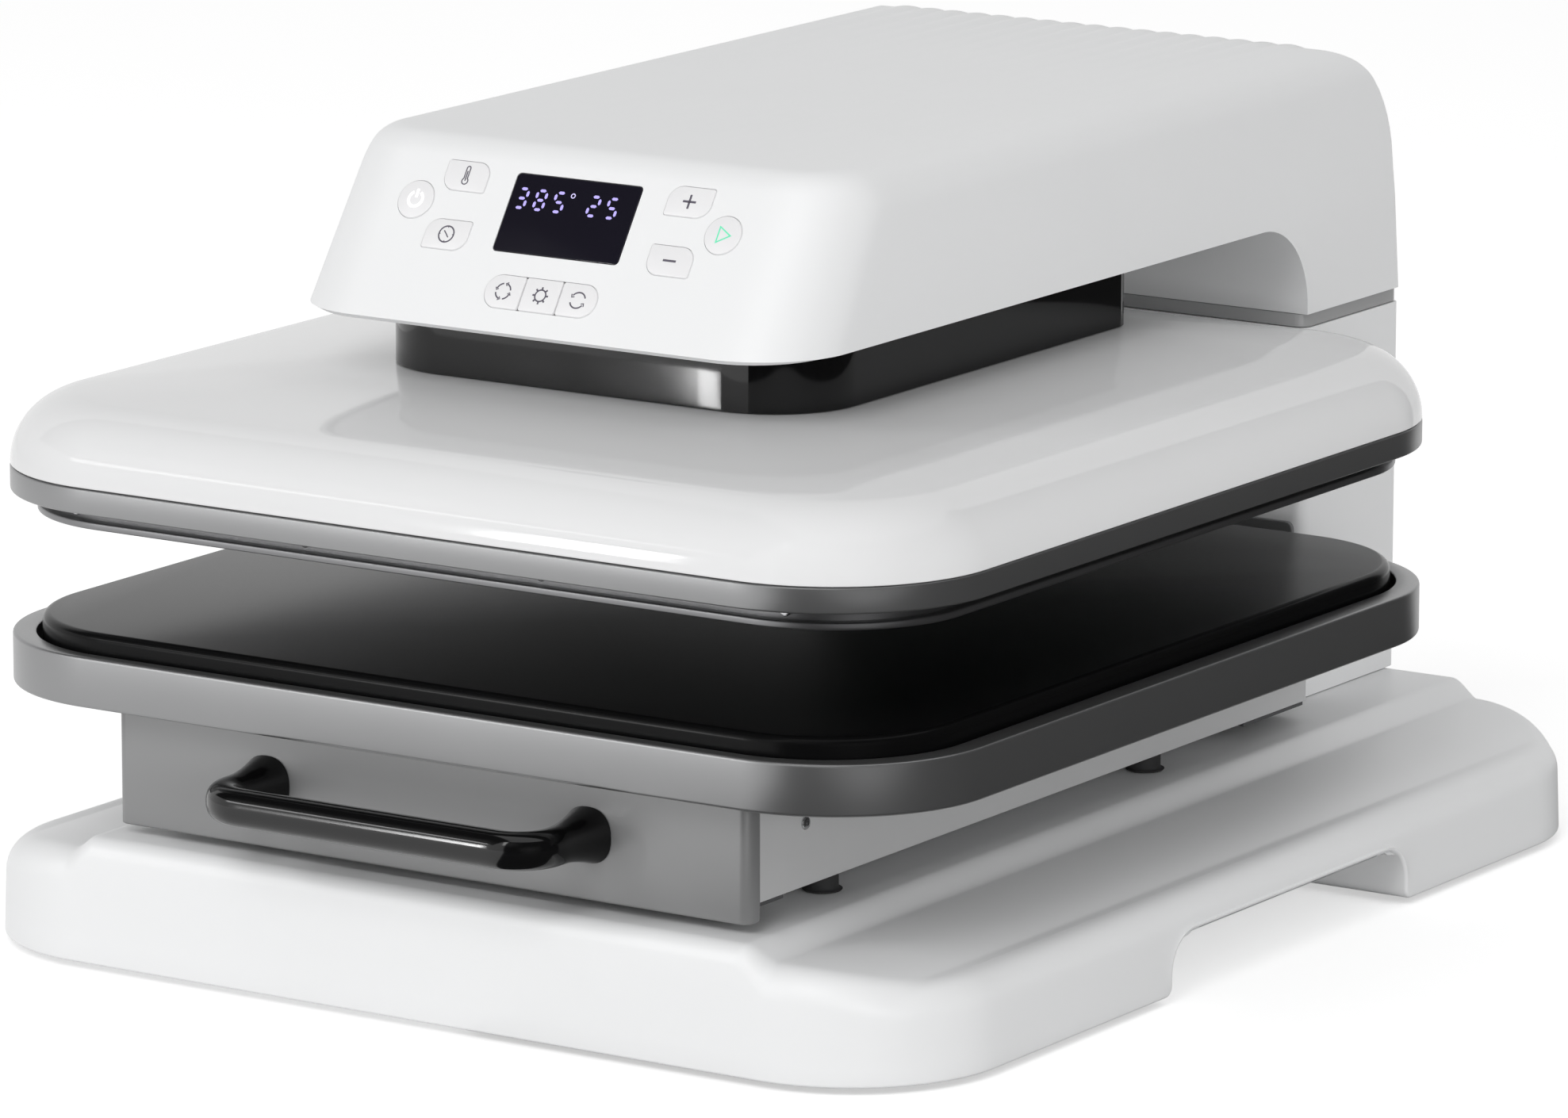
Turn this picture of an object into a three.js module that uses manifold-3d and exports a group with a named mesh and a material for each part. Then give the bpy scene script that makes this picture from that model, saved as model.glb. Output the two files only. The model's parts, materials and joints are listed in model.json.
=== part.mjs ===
// Automatic heat press: a sliding lower tray, a motor-driven heating head and a control panel.
// Units are millimetres. X is to the right, Y to the back and Z up. While the model is built,
// the centre of the heating platen is X = Y = 0 and the lower edge of the base is Z = 0.

import * as THREE from 'three';
import { mergeVertices } from 'three/addons/utils/BufferGeometryUtils.js';
import Module from 'manifold-3d';

const wasm = await Module();
wasm.setup();

// Clearances shared by every piece
const seatGap = 0.3;
const slideGap = 0.4;
const cutOverrun = 5;
const cornerSteps = 6;
const roundSides = 20;

// Heating platen and the gap that it presses over
const platenHalfWidth = 190.5;
const platenHalfDepth = 192.2;
const platenCornerRadius = 51;
const platenUnderside = 156.3;
const platenLipHeight = 2.7;
const platenStepInset = 4;
const platenThickness = 13.7;
const pressGap = 37.2;
const pressClearance = 0.3;
const bossSideInset = 33.2;
const bossFrontInset = 31.7;
const bossRadius = 9;

// Band and cover around the platen
const bandOverhang = 9.7;
const bandDepthExtra = 0.6;
const bandCornerRadius = 61.7;
const bandBottom = 164;
const bandHeight = 9.2;
const bandRunIn = 0.5;
const coverWall = 3;
const coverShoulderRadius = 25.5;
const coverCrownRise = 5.7;
const coverOpeningInset = 11;
const coverSteps = 5;

// Heater and insulation behind the platen
const heaterRadius = 3.2;
const heaterSpacingShare = 1.2903;
const heaterEndMargin = 32.2;
const heaterRuns = 4;
const heaterSides = 6;
const heaterBendSteps = 6;
const insulationThickness = 4.6;
const insulationInset = 10;
const insulationHoleGap = 1;

// Neck between the cover and the housing
const neckSideInset = 15.1;
const neckFrontInset = 30.6;
const neckColumnGap = 98.8;
const neckCornerRadius = 34.3;
const neckRearRadius = 12;
const neckOverlap = 8.1;
const neckWall = 2.5;
const neckFlangeWidth = 7.5;
const neckFlangeThickness = 1.5;
const neckCoverMargin = 3;
const carriagePlateThickness = 5;
const carriagePlateGap = 0.5;
const linerRunGap = 0.6;
const linerWall = 1.8;
const linerFootGap = 0.8;
const linerRise = 1.6;
const linerFlangeThickness = 1.5;
const linerFlangeHalfDepth = 70;

// Screw drive and guides
const screwRadius = 6;
const screwFootGap = 3.7;
const screwJournalRadius = 5;
const screwJournalLength = 15;
const screwRunGap = 0.35;
const nutFlangeRadius = 16;
const nutFlangeThickness = 4;
const nutBodyRadius = 11;
const nutHeight = 20;
const plateScrewHoleRadius = 8;
const rodRadius = 8;
const rodNeckInset = 31.2;
const rodRoofGap = 0.7;
const rodRunGap = 0.15;
const bushWall = 5;
const bushLength = 39.5;
const motorRodGap = 30;
const motorHalfDepth = 30;
const motorBelowPlate = 28;
const motorCornerRadius = 6;
const motorGearboxRadius = 14;
const motorGearboxDrop = 3;

// Housing over the drive
const headHalfWidth = 110.3;
const headFrontReach = 124.3;
const headNeckShow = 25;
const headHeight = 60;
const headCornerRadius = 33.8;
const headRearRadius = 3.5;
const headRearLeastRadius = 1;
const headSideDraft = 3;
const headWall = 3.2;
const headEdgeRadius = 14;
const headBackRadius = 46;
const headBackInset = 5;
const panelSetback = 39.8;
const throatRadius = 33;
const throatSteps = 6;
const roofRibCount = 17;
const roofRibPitchShare = 0.0961;
const roofRibHeight = 1;
const roofRibFrontSetback = 45;
const roofRibWidthShare = 0.62;
const roofRibTurns = [0, 0.35, 0.7, 1.05];
const floorThickness = 2;
const floorRecess = 0.6;
const neckRunGap = 1.2;

// Steel frame inside the housing
const frameSheet = 4;
const frameSideGap = 1.1;
const frameRoofGap = 13;
const framePlateThickness = 5;
const frameFlangeBottomGap = 4;
const frameFrontSetback = 28;
const postWidth = 30;
const postDepth = 34;
const postWall = 2.5;
const postRearGap = 6;

// Column
const columnSideStep = 0.8;
const columnTrayGap = 26.8;
const columnDepth = 71;
const columnCornerRadius = 3.5;
const columnFrontRadius = 5;
const columnWall = 3;
const trimBottom = 188.5;
const trimHeight = 5;
const trimStep = 0.6;
const frontPanelSideInset = 3.5;
const frontPanelHeight = 68;
const frontPanelThickness = 2.2;
const frontPanelRadius = 3;

// Base
const baseSideMargin = 6.2;
const baseFrontSetback = 0.4;
const baseRearMargin = 0.7;
const baseCornerRadius = 59.4;
const basePlateauInset = 68.2;
const basePlateauHeight = 46;
const baseStepWidth = 12;
const baseStepDrop = 6;
const baseWingWidth = 40;
const baseWingFall = 6.2;
const baseEdgeRadius = 7;
const baseShoulderRadius = 13;
const baseEdgeSteps = 4;
const baseBevel = 2.5;
const baseDraft = 0.8;
const baseWall = 3.5;
const baseRibThickness = 2.5;
const baseRibSpacing = 92;
const baseRibFootGap = 3;
const basePlateThickness = 1.5;
const basePlateRise = 0.6;
const gripFrontY = -24.5;
const gripRearY = 140.5;
const gripHeight = 22;
const gripDepth = 50;
const gripRadius = 14;
const gripSteps = 4;
const footRadius = 13;
const footHeight = 2.8;
const footTaper = 1.5;
const footInset = 56;

// Drawer chassis
const chassisSideMargin = 9.8;
const chassisFrontGap = 2;
const chassisColumnGap = 28;
const chassisBottom = 53.4;
const chassisTop = 91;
const chassisSheet = 2;
const mountRadius = 5.7;
const mountFlangeRadius = 7.1;
const mountFlangeHeight = 1.6;
const mountSideInset = 8.5;
const mountFrontInset = 57;
const mountRearInset = 102;
const strapThickness = 1.6;
const strapSideInset = 1.4;
const strapFrontDepth = 21.6;
const strapRearDepth = 43;
const strapScrewInset = 22;
const strapScrewRadius = 2.5;

// Telescopic rails
const railThickness = 12.7;
const railSheet = 1.5;
const railHalfHeight = 15;
const railNestStep = 1.9;
const railStartInset = 5;
const railEndInset = 10;

// Lower tray, pad and drawer
const traySideOverhang = 9.3;
const trayEndOverhang = 9;
const trayCornerExtra = 8.4;
const trayBottom = 93.7;
const trayRimTop = 112.2;
const trayBevel = 1.2;
const traySkirt = 4;
const trayWeb = 3.6;
const trayRibThickness = 3;
const trayRibSpacing = 96;
const padSideInset = 11.1;
const padEndInset = 7.8;
const padCornerInset = 7.1;
const padTop = platenUnderside - pressGap;
const padThickness = 15.8;
const padEdgeRadius = 3;
const padGroove = 2.2;
const carriageSheet = 2;
const carriageDepthBelow = 35;
const carriageRearGap = 12;
const frontSideOverhang = 6.4;
const frontSetback = 14.2;
const frontThickness = 10;
const frontBottom = 49.6;
const frontEdgeRadius = 4;

// Drawer handle
const handleHalfSpan = 66;
const handleReach = 35;
const handleRootHeight = 76;
const handleDrop = 5;
const handleHalfThickness = 6.5;
const handleHalfHeight = 7.4;
const handleBendRadius = 14;
const handleBendSteps = 4;
const handleSides = 12;

// Control panel, measured up the slanted front face from the housing's lower edge
const buttonProud = 0.6;
const buttonCapDepth = 5.5;
const buttonFlangeWidth = 1.2;
const buttonFlangeThickness = 1.2;
const buttonGap = 0.4;
const buttonCurveSteps = 3;
const roundKeyRadius = 7.3;
const roundKeySpacingShare = 0.593;
const roundKeyRiseShare = 0.77;
const leafWidthShare = 0.0834;
const leafHalfHeight = 5.7;
const leafRoundRadius = 5.4;
const leafPointRadius = 0.9;
const leafSpacingShare = 0.4306;
const leafUpperRiseShare = 0.9517;
const leafLowerRiseShare = 0.5717;
const pillWidthShare = 0.214;
const pillHalfHeight = 6.3;
const pillRise = 15.5;
const pillSplitShare = 0.0689;
const pillSplitGap = 0.5;
const displayWidthShare = 0.2412;
const displayHeightShare = 0.2517;
const displayRiseShare = 0.7617;
const displayRadius = 1.6;
const displayThickness = 2;
const boardDepth = 9;
const boardThickness = 1.6;
const boardWidthShare = 0.7072;
const boardBottomRise = 13;
const boardTopShare = 1;
const boardPostRadius = 2.5;
const boardPostInset = 4;

// Mains inlet with its rocker switch, on the back of the column
const inletHalfWidth = 24;
const inletHalfHeight = 31;
const inletCentreZ = 84;
const inletFlangeThickness = 2;
const inletBodyMargin = 3;
const inletBodyDepth = 26;
const inletRadius = 3;
const socketHalfWidth = 12.4;
const socketHalfHeight = 8.4;
const socketDepth = 17;
const socketDrop = 13;
const socketPinLength = 11;
const socketPinHalfWidth = 1;
const socketPinHalfHeight = 2;
const socketPinSpacing = 7;
const socketPinStagger = 4;
const rockerHalfWidth = 9.5;
const rockerHalfHeight = 6.5;
const rockerRise = 15;
const rockerDepth = 7;
const rockerPeak = 1.6;
const rockerSwing = 12;
const rockerGap = 0.5;

// Heights and faces that several pieces share
const headTravel = pressGap - pressClearance;
const neckHeight = headTravel + neckOverlap;
const neckHalfWidth = headHalfWidth - neckSideInset;
const neckFrontReach = headFrontReach - neckFrontInset;
const bossSpacing = neckHalfWidth - bossSideInset;
const bossRowSpacing = neckFrontReach - bossFrontInset;
const rodSpacing = neckHalfWidth - rodNeckInset;
const motorHalfWidth = rodSpacing - motorRodGap;
const motorHeight = headHeight - motorBelowPlate;
const heaterRunSpacing = bossSpacing * heaterSpacingShare;
const trayHalfWidth = platenHalfWidth + traySideOverhang;
const trayHalfDepth = platenHalfDepth + trayEndOverhang;
const trayCornerRadius = platenCornerRadius + trayCornerExtra;
const padHalfWidth = trayHalfWidth - padSideInset;
const padHalfDepth = trayHalfDepth - padEndInset;
const padCornerRadius = trayCornerRadius - padCornerInset;
const columnHalfWidth = headHalfWidth - columnSideStep;
const columnFrontY = trayHalfDepth + columnTrayGap;
const columnRearY = columnFrontY + columnDepth;
const neckRearReach = columnFrontY - neckColumnGap;
const frontPanelHalfWidth = columnHalfWidth - frontPanelSideInset;
const baseHalfWidth = trayHalfWidth + baseSideMargin;
const baseFrontReach = trayHalfDepth - baseFrontSetback;
const baseRearReach = columnRearY + baseRearMargin;
const basePlateauHalfWidth = baseHalfWidth - basePlateauInset;
const frontPlaneY = frontSetback - trayHalfDepth;
const chassisHalfWidth = basePlateauHalfWidth - chassisSideMargin;
const chassisFrontY = frontPlaneY + frontThickness + chassisFrontGap;
const chassisRearY = columnFrontY - chassisColumnGap;
const mountX = chassisHalfWidth - mountSideInset;
const mountFrontY = chassisFrontY + mountFrontInset;
const mountRearY = chassisRearY - mountRearInset;
const strapHalfWidth = chassisHalfWidth - strapSideInset;
const railLength = chassisRearY - chassisFrontY - railStartInset - railEndInset;
const frontHalfWidth = chassisHalfWidth + frontSideOverhang;
const roofRibPitch = headHalfWidth * roofRibPitchShare;
const roundKeySpacing = headHalfWidth * roundKeySpacingShare;
const roundKeyRise = headHeight * roundKeyRiseShare;
const leafHalfWidth = headHalfWidth * leafWidthShare;
const leafSpacing = headHalfWidth * leafSpacingShare;
const leafUpperRise = headHeight * leafUpperRiseShare;
const leafLowerRise = headHeight * leafLowerRiseShare;
const pillHalfWidth = headHalfWidth * pillWidthShare;
const pillSplitHalfWidth = headHalfWidth * pillSplitShare;
const displayHalfWidth = headHalfWidth * displayWidthShare;
const displayHalfHeight = headHeight * displayHeightShare;
const displayRise = headHeight * displayRiseShare;
const boardHalfWidth = headHalfWidth * boardWidthShare;
const boardTopRise = headHeight * boardTopShare;
const heaterRunHalfLength = platenHalfDepth - heaterEndMargin - heaterRunSpacing / 2;
const bandHalfWidth = platenHalfWidth + bandOverhang;
const bandHalfDepth = platenHalfDepth + bandOverhang + bandDepthExtra;
const bandTop = bandBottom + bandHeight;
const platenTop = platenUnderside + platenThickness;
const coverBottom = bandTop + seatGap;
const coverShoulderTop = coverBottom + coverShoulderRadius;
const coverTop = coverShoulderTop + coverCrownRise;
const neckBottom = coverTop + seatGap;
const neckTop = neckBottom + neckHeight;
const headBottom = neckBottom + headNeckShow;
const headTop = headBottom + headHeight;
const carriagePlateBottom = neckBottom + neckFlangeThickness + seatGap;
const carriagePlateTop = carriagePlateBottom + carriagePlateThickness;
const framePlateTop = headTop - frameRoofGap;
const framePlateBottom = framePlateTop - framePlateThickness;
const heaterCentreZ = platenTop + seatGap + heaterRadius;
const insulationBottom = heaterCentreZ + heaterRadius + seatGap;
const insulationTop = insulationBottom + insulationThickness;
const motorTop = framePlateBottom - seatGap;
const motorBottom = motorTop - motorHeight;
const panelTilt = Math.atan2(panelSetback, headHeight);
const trimTop = trimBottom + trimHeight;
const headFrontY = -headFrontReach;
const basePlateTop = basePlateRise + basePlateThickness;
const chassisInnerX = chassisHalfWidth - chassisSheet;
const railOuterX = chassisInnerX - seatGap;
const carriageHalfWidth = railOuterX - railThickness - seatGap;
const railCentreZ = (chassisBottom + chassisTop) / 2;
const frontPanelY = columnFrontY - seatGap;
const flangeOuterX = headHalfWidth - headSideDraft - headWall - frameSideGap;
const flangeInnerX = flangeOuterX - frameSheet;
const postOuterX = flangeInnerX - seatGap;

// Turns a closed three.js geometry into a solid that can be joined and cut
function solid(geometry) {
  const bare = geometry.index ? geometry : geometry.clone();
  bare.deleteAttribute('normal');
  bare.deleteAttribute('uv');
  const merged = mergeVertices(bare);
  const vertProperties = new Float32Array(merged.attributes.position.array);
  const triVerts = new Uint32Array(merged.index.array);
  return new wasm.Manifold(new wasm.Mesh({ numProp: 3, vertProperties, triVerts }));
}

function geometryOf(body) {
  const mesh = body.getMesh();
  const geometry = new THREE.BufferGeometry();
  geometry.setAttribute('position', new THREE.BufferAttribute(mesh.vertProperties, 3));
  geometry.setIndex(new THREE.BufferAttribute(mesh.triVerts, 1));
  geometry.computeVertexNormals();
  return geometry;
}

function join(first, ...others) {
  return others.reduce((sum, other) => sum.add(other), first);
}

function cut(first, ...tools) {
  return tools.reduce((rest, tool) => rest.subtract(tool), first);
}

// Rounded rectangle, counter-clockwise from the front right corner, with its own radii front and back
function roundedRing({ left, right, front, rear, frontRadius, rearRadius = frontRadius, z }) {
  const corners = [
    [right - frontRadius, front + frontRadius, frontRadius, -1],
    [right - rearRadius, rear - rearRadius, rearRadius, 0],
    [left + rearRadius, rear - rearRadius, rearRadius, 1],
    [left + frontRadius, front + frontRadius, frontRadius, 2],
  ];
  const points = [];
  for (const [x, y, radius, quarter] of corners) {
    for (let step = 0; step <= cornerSteps; step += 1) {
      const angle = (quarter + step / cornerSteps) * Math.PI / 2;
      points.push([x + radius * Math.cos(angle), y + radius * Math.sin(angle), z]);
    }
  }
  return points;
}

// Ring of a plate that is centred in X and drawn in all round by an inset
function plateRing(plate, inset, z) {
  return roundedRing({
    left: -plate.halfWidth + inset,
    right: plate.halfWidth - inset,
    front: plate.front + inset,
    rear: plate.rear - inset,
    frontRadius: plate.radius - inset,
    rearRadius: (plate.rearRadius ?? plate.radius) - inset,
    z,
  });
}

// Skin over rings with equal counts of points. Its ends are fans, or strips that run front to back.
function loft(rings, inStrips = false) {
  const count = rings[0].length;
  const positions = rings.flat(2);
  const faces = [];
  for (let level = 0; level + 1 < rings.length; level += 1) {
    for (let step = 0; step < count; step += 1) {
      const here = level * count + step;
      const next = level * count + (step + 1) % count;
      faces.push(here, next, next + count, here, next + count, here + count);
    }
  }
  const last = (rings.length - 1) * count;
  if (inStrips) {
    const half = count / 2;
    const quarter = half / 2;
    for (let k = 0; k + 1 < half; k += 1) {
      const [front, nextFront] = [k, k + 1].map((n) => (count - quarter + n) % count);
      const [rear, nextRear] = [k, k + 1].map((n) => quarter + half - 1 - n);
      faces.push(front, nextRear, nextFront, front, rear, nextRear);
      faces.push(last + front, last + nextFront, last + nextRear);
      faces.push(last + front, last + nextRear, last + rear);
    }
  } else {
    for (let step = 1; step + 1 < count; step += 1) {
      faces.push(0, step + 1, step);
      faces.push(last, last + step, last + step + 1);
    }
  }
  const geometry = new THREE.BufferGeometry();
  geometry.setAttribute('position', new THREE.Float32BufferAttribute(positions, 3));
  geometry.setIndex(faces);
  return solid(geometry);
}

function plateSolid(plate, bottom, top, inset = 0) {
  return loft([plateRing(plate, inset, bottom), plateRing(plate, inset, top)]);
}

function block(left, right, front, rear, bottom, top) {
  const geometry = new THREE.BoxGeometry(right - left, rear - front, top - bottom);
  geometry.translate((left + right) / 2, (front + rear) / 2, (bottom + top) / 2);
  return solid(geometry);
}

function drum(radius, bottom, top, x = 0, y = 0, sides = roundSides, topRadius = radius) {
  const geometry = new THREE.CylinderGeometry(topRadius, radius, top - bottom, sides);
  geometry.rotateX(Math.PI / 2);
  geometry.translate(x, y, (bottom + top) / 2);
  return solid(geometry);
}

function shapeOf(points) {
  return new THREE.Shape(points.map(([x, y]) => new THREE.Vector2(x, y)));
}

function extrude(points, depth) {
  return new THREE.ExtrudeGeometry(shapeOf(points), { depth, bevelEnabled: false, steps: 1 });
}

// Profile in the X-Z plane, pushed along Y
function extrudeY(points, front, rear) {
  const geometry = extrude(points, rear - front);
  geometry.rotateX(Math.PI / 2);
  geometry.translate(0, rear, 0);
  return solid(geometry);
}

// Profile in the Y-Z plane, pushed along X
function extrudeX(points, left, right) {
  const geometry = extrude(points, right - left);
  const turn = new THREE.Matrix4().set(0, 0, 1, 0, 1, 0, 0, 0, 0, 1, 0, 0, 0, 0, 0, 1);
  geometry.applyMatrix4(turn);
  geometry.translate(left, 0, 0);
  return solid(geometry);
}

function arcPoints(x, y, radius, from, to, steps) {
  return Array.from({ length: steps + 1 }, (_, k) => {
    const angle = from + (to - from) * k / steps;
    return [x + radius * Math.cos(angle), y + radius * Math.sin(angle)];
  });
}

// Oval bar along a route of points; up is the direction of its height
function barAlong(route, halfWidth, halfHeight, up, sides) {
  const positions = [];
  const faces = [];
  route.forEach((point, index) => {
    const before = route[Math.max(index - 1, 0)];
    const after = route[Math.min(index + 1, route.length - 1)];
    const along = new THREE.Vector3().subVectors(after, before).normalize();
    const across = new THREE.Vector3().crossVectors(up, along).normalize();
    const tall = new THREE.Vector3().crossVectors(along, across);
    for (let side = 0; side < sides; side += 1) {
      const angle = (side / sides) * 2 * Math.PI;
      const spot = point.clone();
      spot.addScaledVector(across, halfWidth * Math.cos(angle));
      spot.addScaledVector(tall, halfHeight * Math.sin(angle));
      positions.push(spot.x, spot.y, spot.z);
      if (index > 0) {
        const here = (index - 1) * sides + side;
        const next = (index - 1) * sides + (side + 1) % sides;
        faces.push(here, next, next + sides, here, next + sides, here + sides);
      }
    }
  });
  const last = (route.length - 1) * sides;
  for (let side = 1; side + 1 < sides; side += 1) {
    faces.push(0, side + 1, side, last, last + side, last + side + 1);
  }
  const geometry = new THREE.BufferGeometry();
  geometry.setAttribute('position', new THREE.Float32BufferAttribute(positions, 3));
  geometry.setIndex(faces);
  return solid(geometry);
}

const looks = {
  whiteShell: { color: 0xf2f2f2, roughness: 0.38, metalness: 0 },
  greyTrim: { color: 0x7d7f80, roughness: 0.45, metalness: 0 },
  darkPlate: { color: 0x3b3d3f, roughness: 0.4, metalness: 0.3 },
  blackGloss: { color: 0x0a0a0b, roughness: 0.12, metalness: 0 },
  blackRubber: { color: 0x17181a, roughness: 0.85, metalness: 0 },
  padBlack: { color: 0x0c0c0d, roughness: 0.6, metalness: 0 },
  panelGrey: { color: 0x8d8f90, roughness: 0.42, metalness: 0.25 },
  sheetSteel: { color: 0xa9abad, roughness: 0.4, metalness: 0.7 },
  machinedSteel: { color: 0xbfc1c4, roughness: 0.25, metalness: 1 },
  castAluminium: { color: 0x9a9c9e, roughness: 0.45, metalness: 0.8 },
  bronze: { color: 0xb08a4c, roughness: 0.35, metalness: 0.9 },
  motorBlack: { color: 0x222426, roughness: 0.55, metalness: 0.2 },
  boardGreen: { color: 0x1f5b3c, roughness: 0.5, metalness: 0 },
  boardMineral: { color: 0xd9d4c7, roughness: 0.95, metalness: 0 },
  displayGlass: { color: 0x1b1a22, roughness: 0.08, metalness: 0 },
  keyWhite: { color: 0xececec, roughness: 0.45, metalness: 0 },
};

function piece(name, body, look) {
  const mesh = new THREE.Mesh(geometryOf(body), new THREE.MeshStandardMaterial(looks[look]));
  mesh.name = name;
  return mesh;
}

function bothSides(name, make, look) {
  return [
    piece(`${name}_left`, make(-1), look),
    piece(`${name}_right`, make(1), look),
  ];
}

// A block given by its inner and outer distance from the middle plane, on the side asked for
function sideBlock(side, inner, outer, front, rear, bottom, top) {
  const edges = [side * inner, side * outer].sort((a, b) => a - b);
  return block(edges[0], edges[1], front, rear, bottom, top);
}

// Base
const basePlan = {
  halfWidth: baseHalfWidth,
  front: -baseFrontReach,
  rear: baseRearReach,
  radius: baseCornerRadius,
};

// Height of the base's upper face: a flat middle, a short slope, then a gently falling wing
function baseRoof(x) {
  const past = Math.abs(x) - basePlateauHalfWidth;
  const slope = THREE.MathUtils.clamp(past / baseStepWidth, 0, 1);
  const wing = THREE.MathUtils.clamp((past - baseStepWidth) / baseWingWidth, 0, 1);
  return basePlateauHeight - baseStepDrop * slope - baseWingFall * wing;
}

function baseEdgeAt(x) {
  const blend = THREE.MathUtils.clamp((Math.abs(x) - basePlateauHalfWidth) / baseStepWidth, 0, 1);
  return baseEdgeRadius + (baseShoulderRadius - baseEdgeRadius) * blend;
}

// The base's outline with a point more at each end of the raised middle, front and rear
function baseRing(inset, z) {
  const corners = plateRing(basePlan, inset, z);
  const perCorner = corners.length / 4;
  const [frontRight, rearRight, rearLeft, frontLeft] = [0, 1, 2, 3].map(
    (n) => corners.slice(n * perCorner, (n + 1) * perCorner));
  const end = (side, y) => [side * basePlateauHalfWidth, y, z];
  const front = inset - baseFrontReach;
  const rear = baseRearReach - inset;
  return [end(1, front), ...frontRight, ...rearRight, end(1, rear), end(-1, rear), ...rearLeft,
    ...frontLeft, end(-1, front)];
}

// The base's outer form drawn in by a wall, from a lower ring up to the rounded upper edge
function baseForm(wall, lowerRings) {
  const outline = baseRing(0, 0);
  const rings = [...lowerRings];
  for (let step = 0; step <= baseEdgeSteps; step += 1) {
    const angle = (step / baseEdgeSteps) * Math.PI / 2;
    const ring = outline.map(([x, y], index) => {
      const radius = baseEdgeAt(x);
      const inset = wall + baseDraft + (radius - radius * Math.cos(angle));
      const [px, py] = baseRing(inset, 0)[index];
      return [px, py, baseRoof(px) - wall - radius + radius * Math.sin(angle)];
    });
    rings.push(ring);
  }
  return loft(rings, true);
}

// Finger recess under one side, drawn larger by a margin for the wall around it
function gripForm(side, margin) {
  const front = gripFrontY - margin;
  const rear = gripRearY + margin;
  const top = gripHeight + margin;
  const radius = gripRadius + margin;
  const profile = [
    [front, -cutOverrun],
    [rear, -cutOverrun],
    ...arcPoints(rear - radius, top - radius, radius, 0, Math.PI / 2, gripSteps),
    ...arcPoints(front + radius, top - radius, radius, Math.PI / 2, Math.PI, gripSteps),
  ];
  const inner = baseHalfWidth - gripDepth - margin;
  const outer = baseHalfWidth + cutOverrun;
  return side > 0 ? extrudeX(profile, inner, outer) : extrudeX(profile, -outer, -inner);
}

function postWindow(side, margin, bottom, top) {
  const front = postRearY - postDepth - margin;
  const rear = postRearY + margin;
  return sideBlock(side, postOuterX - postWidth - margin, postOuterX + margin, front, rear, bottom, top);
}

function makeBaseShell() {
  const outerFoot = [baseRing(baseBevel, 0), baseRing(0, baseBevel)];
  const innerFoot = [baseRing(baseWall, -cutOverrun), baseRing(baseWall, baseBevel)];
  let hollow = baseForm(baseWall, innerFoot);
  hollow = cut(hollow, gripForm(-1, baseWall), gripForm(1, baseWall));
  const ribBottom = basePlateTop + baseRibFootGap;
  const ribHalf = baseRibThickness / 2;
  for (const row of [-1, 0, 1]) {
    const x = row * baseRibSpacing;
    const y = row * baseRibSpacing + baseRearReach - baseFrontReach - baseRibSpacing;
    hollow = cut(
      hollow,
      block(x - ribHalf, x + ribHalf, -baseFrontReach, baseRearReach, ribBottom, basePlateauHeight),
      block(-baseHalfWidth, baseHalfWidth, y - ribHalf, y + ribHalf, ribBottom, basePlateauHeight),
    );
  }
  const windows = [-1, 1].map((side) => postWindow(side, slideGap, ribBottom - cutOverrun,
    basePlateauHeight + cutOverrun));
  return cut(baseForm(0, outerFoot), hollow, gripForm(-1, 0), gripForm(1, 0), ...windows);
}

function makeBasePlate() {
  const sheet = plateSolid(basePlan, basePlateRise, basePlateTop, baseWall + slideGap);
  const margin = baseWall + slideGap;
  return cut(sheet, gripForm(-1, margin), gripForm(1, margin));
}

function makeFoot(side, row) {
  const x = side * (baseHalfWidth - footInset);
  const y = row < 0 ? -baseFrontReach + footInset : baseRearReach - footInset;
  const top = basePlateRise - seatGap;
  return drum(footRadius - footTaper, top - footHeight, top, x, y, roundSides, footRadius);
}

// Column and its trim
const columnPlan = {
  halfWidth: columnHalfWidth,
  front: columnFrontY,
  rear: columnRearY,
  radius: columnFrontRadius,
  rearRadius: columnCornerRadius,
};

function tubeWall(plan, wall, bottom, top) {
  const core = { ...plan, radius: plan.radius - wall / 2, rearRadius: plan.rearRadius - wall / 2 };
  const ring = (inset, z) => roundedRing({
    left: -core.halfWidth + inset,
    right: core.halfWidth - inset,
    front: core.front + inset,
    rear: core.rear - inset,
    frontRadius: core.radius,
    rearRadius: core.rearRadius,
    z,
  });
  const inner = loft([ring(wall, bottom - cutOverrun), ring(wall, top + cutOverrun)]);
  return cut(plateSolid(plan, bottom, top), inner);
}

function makeColumnShell() {
  const tube = tubeWall(columnPlan, columnWall, basePlateauHeight + seatGap, trimBottom - seatGap);
  const halfWidth = inletHalfWidth - inletBodyMargin + slideGap;
  const halfHeight = inletHalfHeight - inletBodyMargin + slideGap;
  const window = block(-halfWidth, halfWidth, columnRearY - columnWall - cutOverrun,
    columnRearY + cutOverrun, inletCentreZ - halfHeight, inletCentreZ + halfHeight);
  return cut(tube, window);
}

function makeTrimBand() {
  const plan = {
    ...columnPlan,
    halfWidth: columnHalfWidth - trimStep,
    front: columnFrontY + trimStep,
    rear: columnRearY - trimStep,
  };
  return tubeWall(plan, columnWall, trimBottom, trimTop);
}

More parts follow.
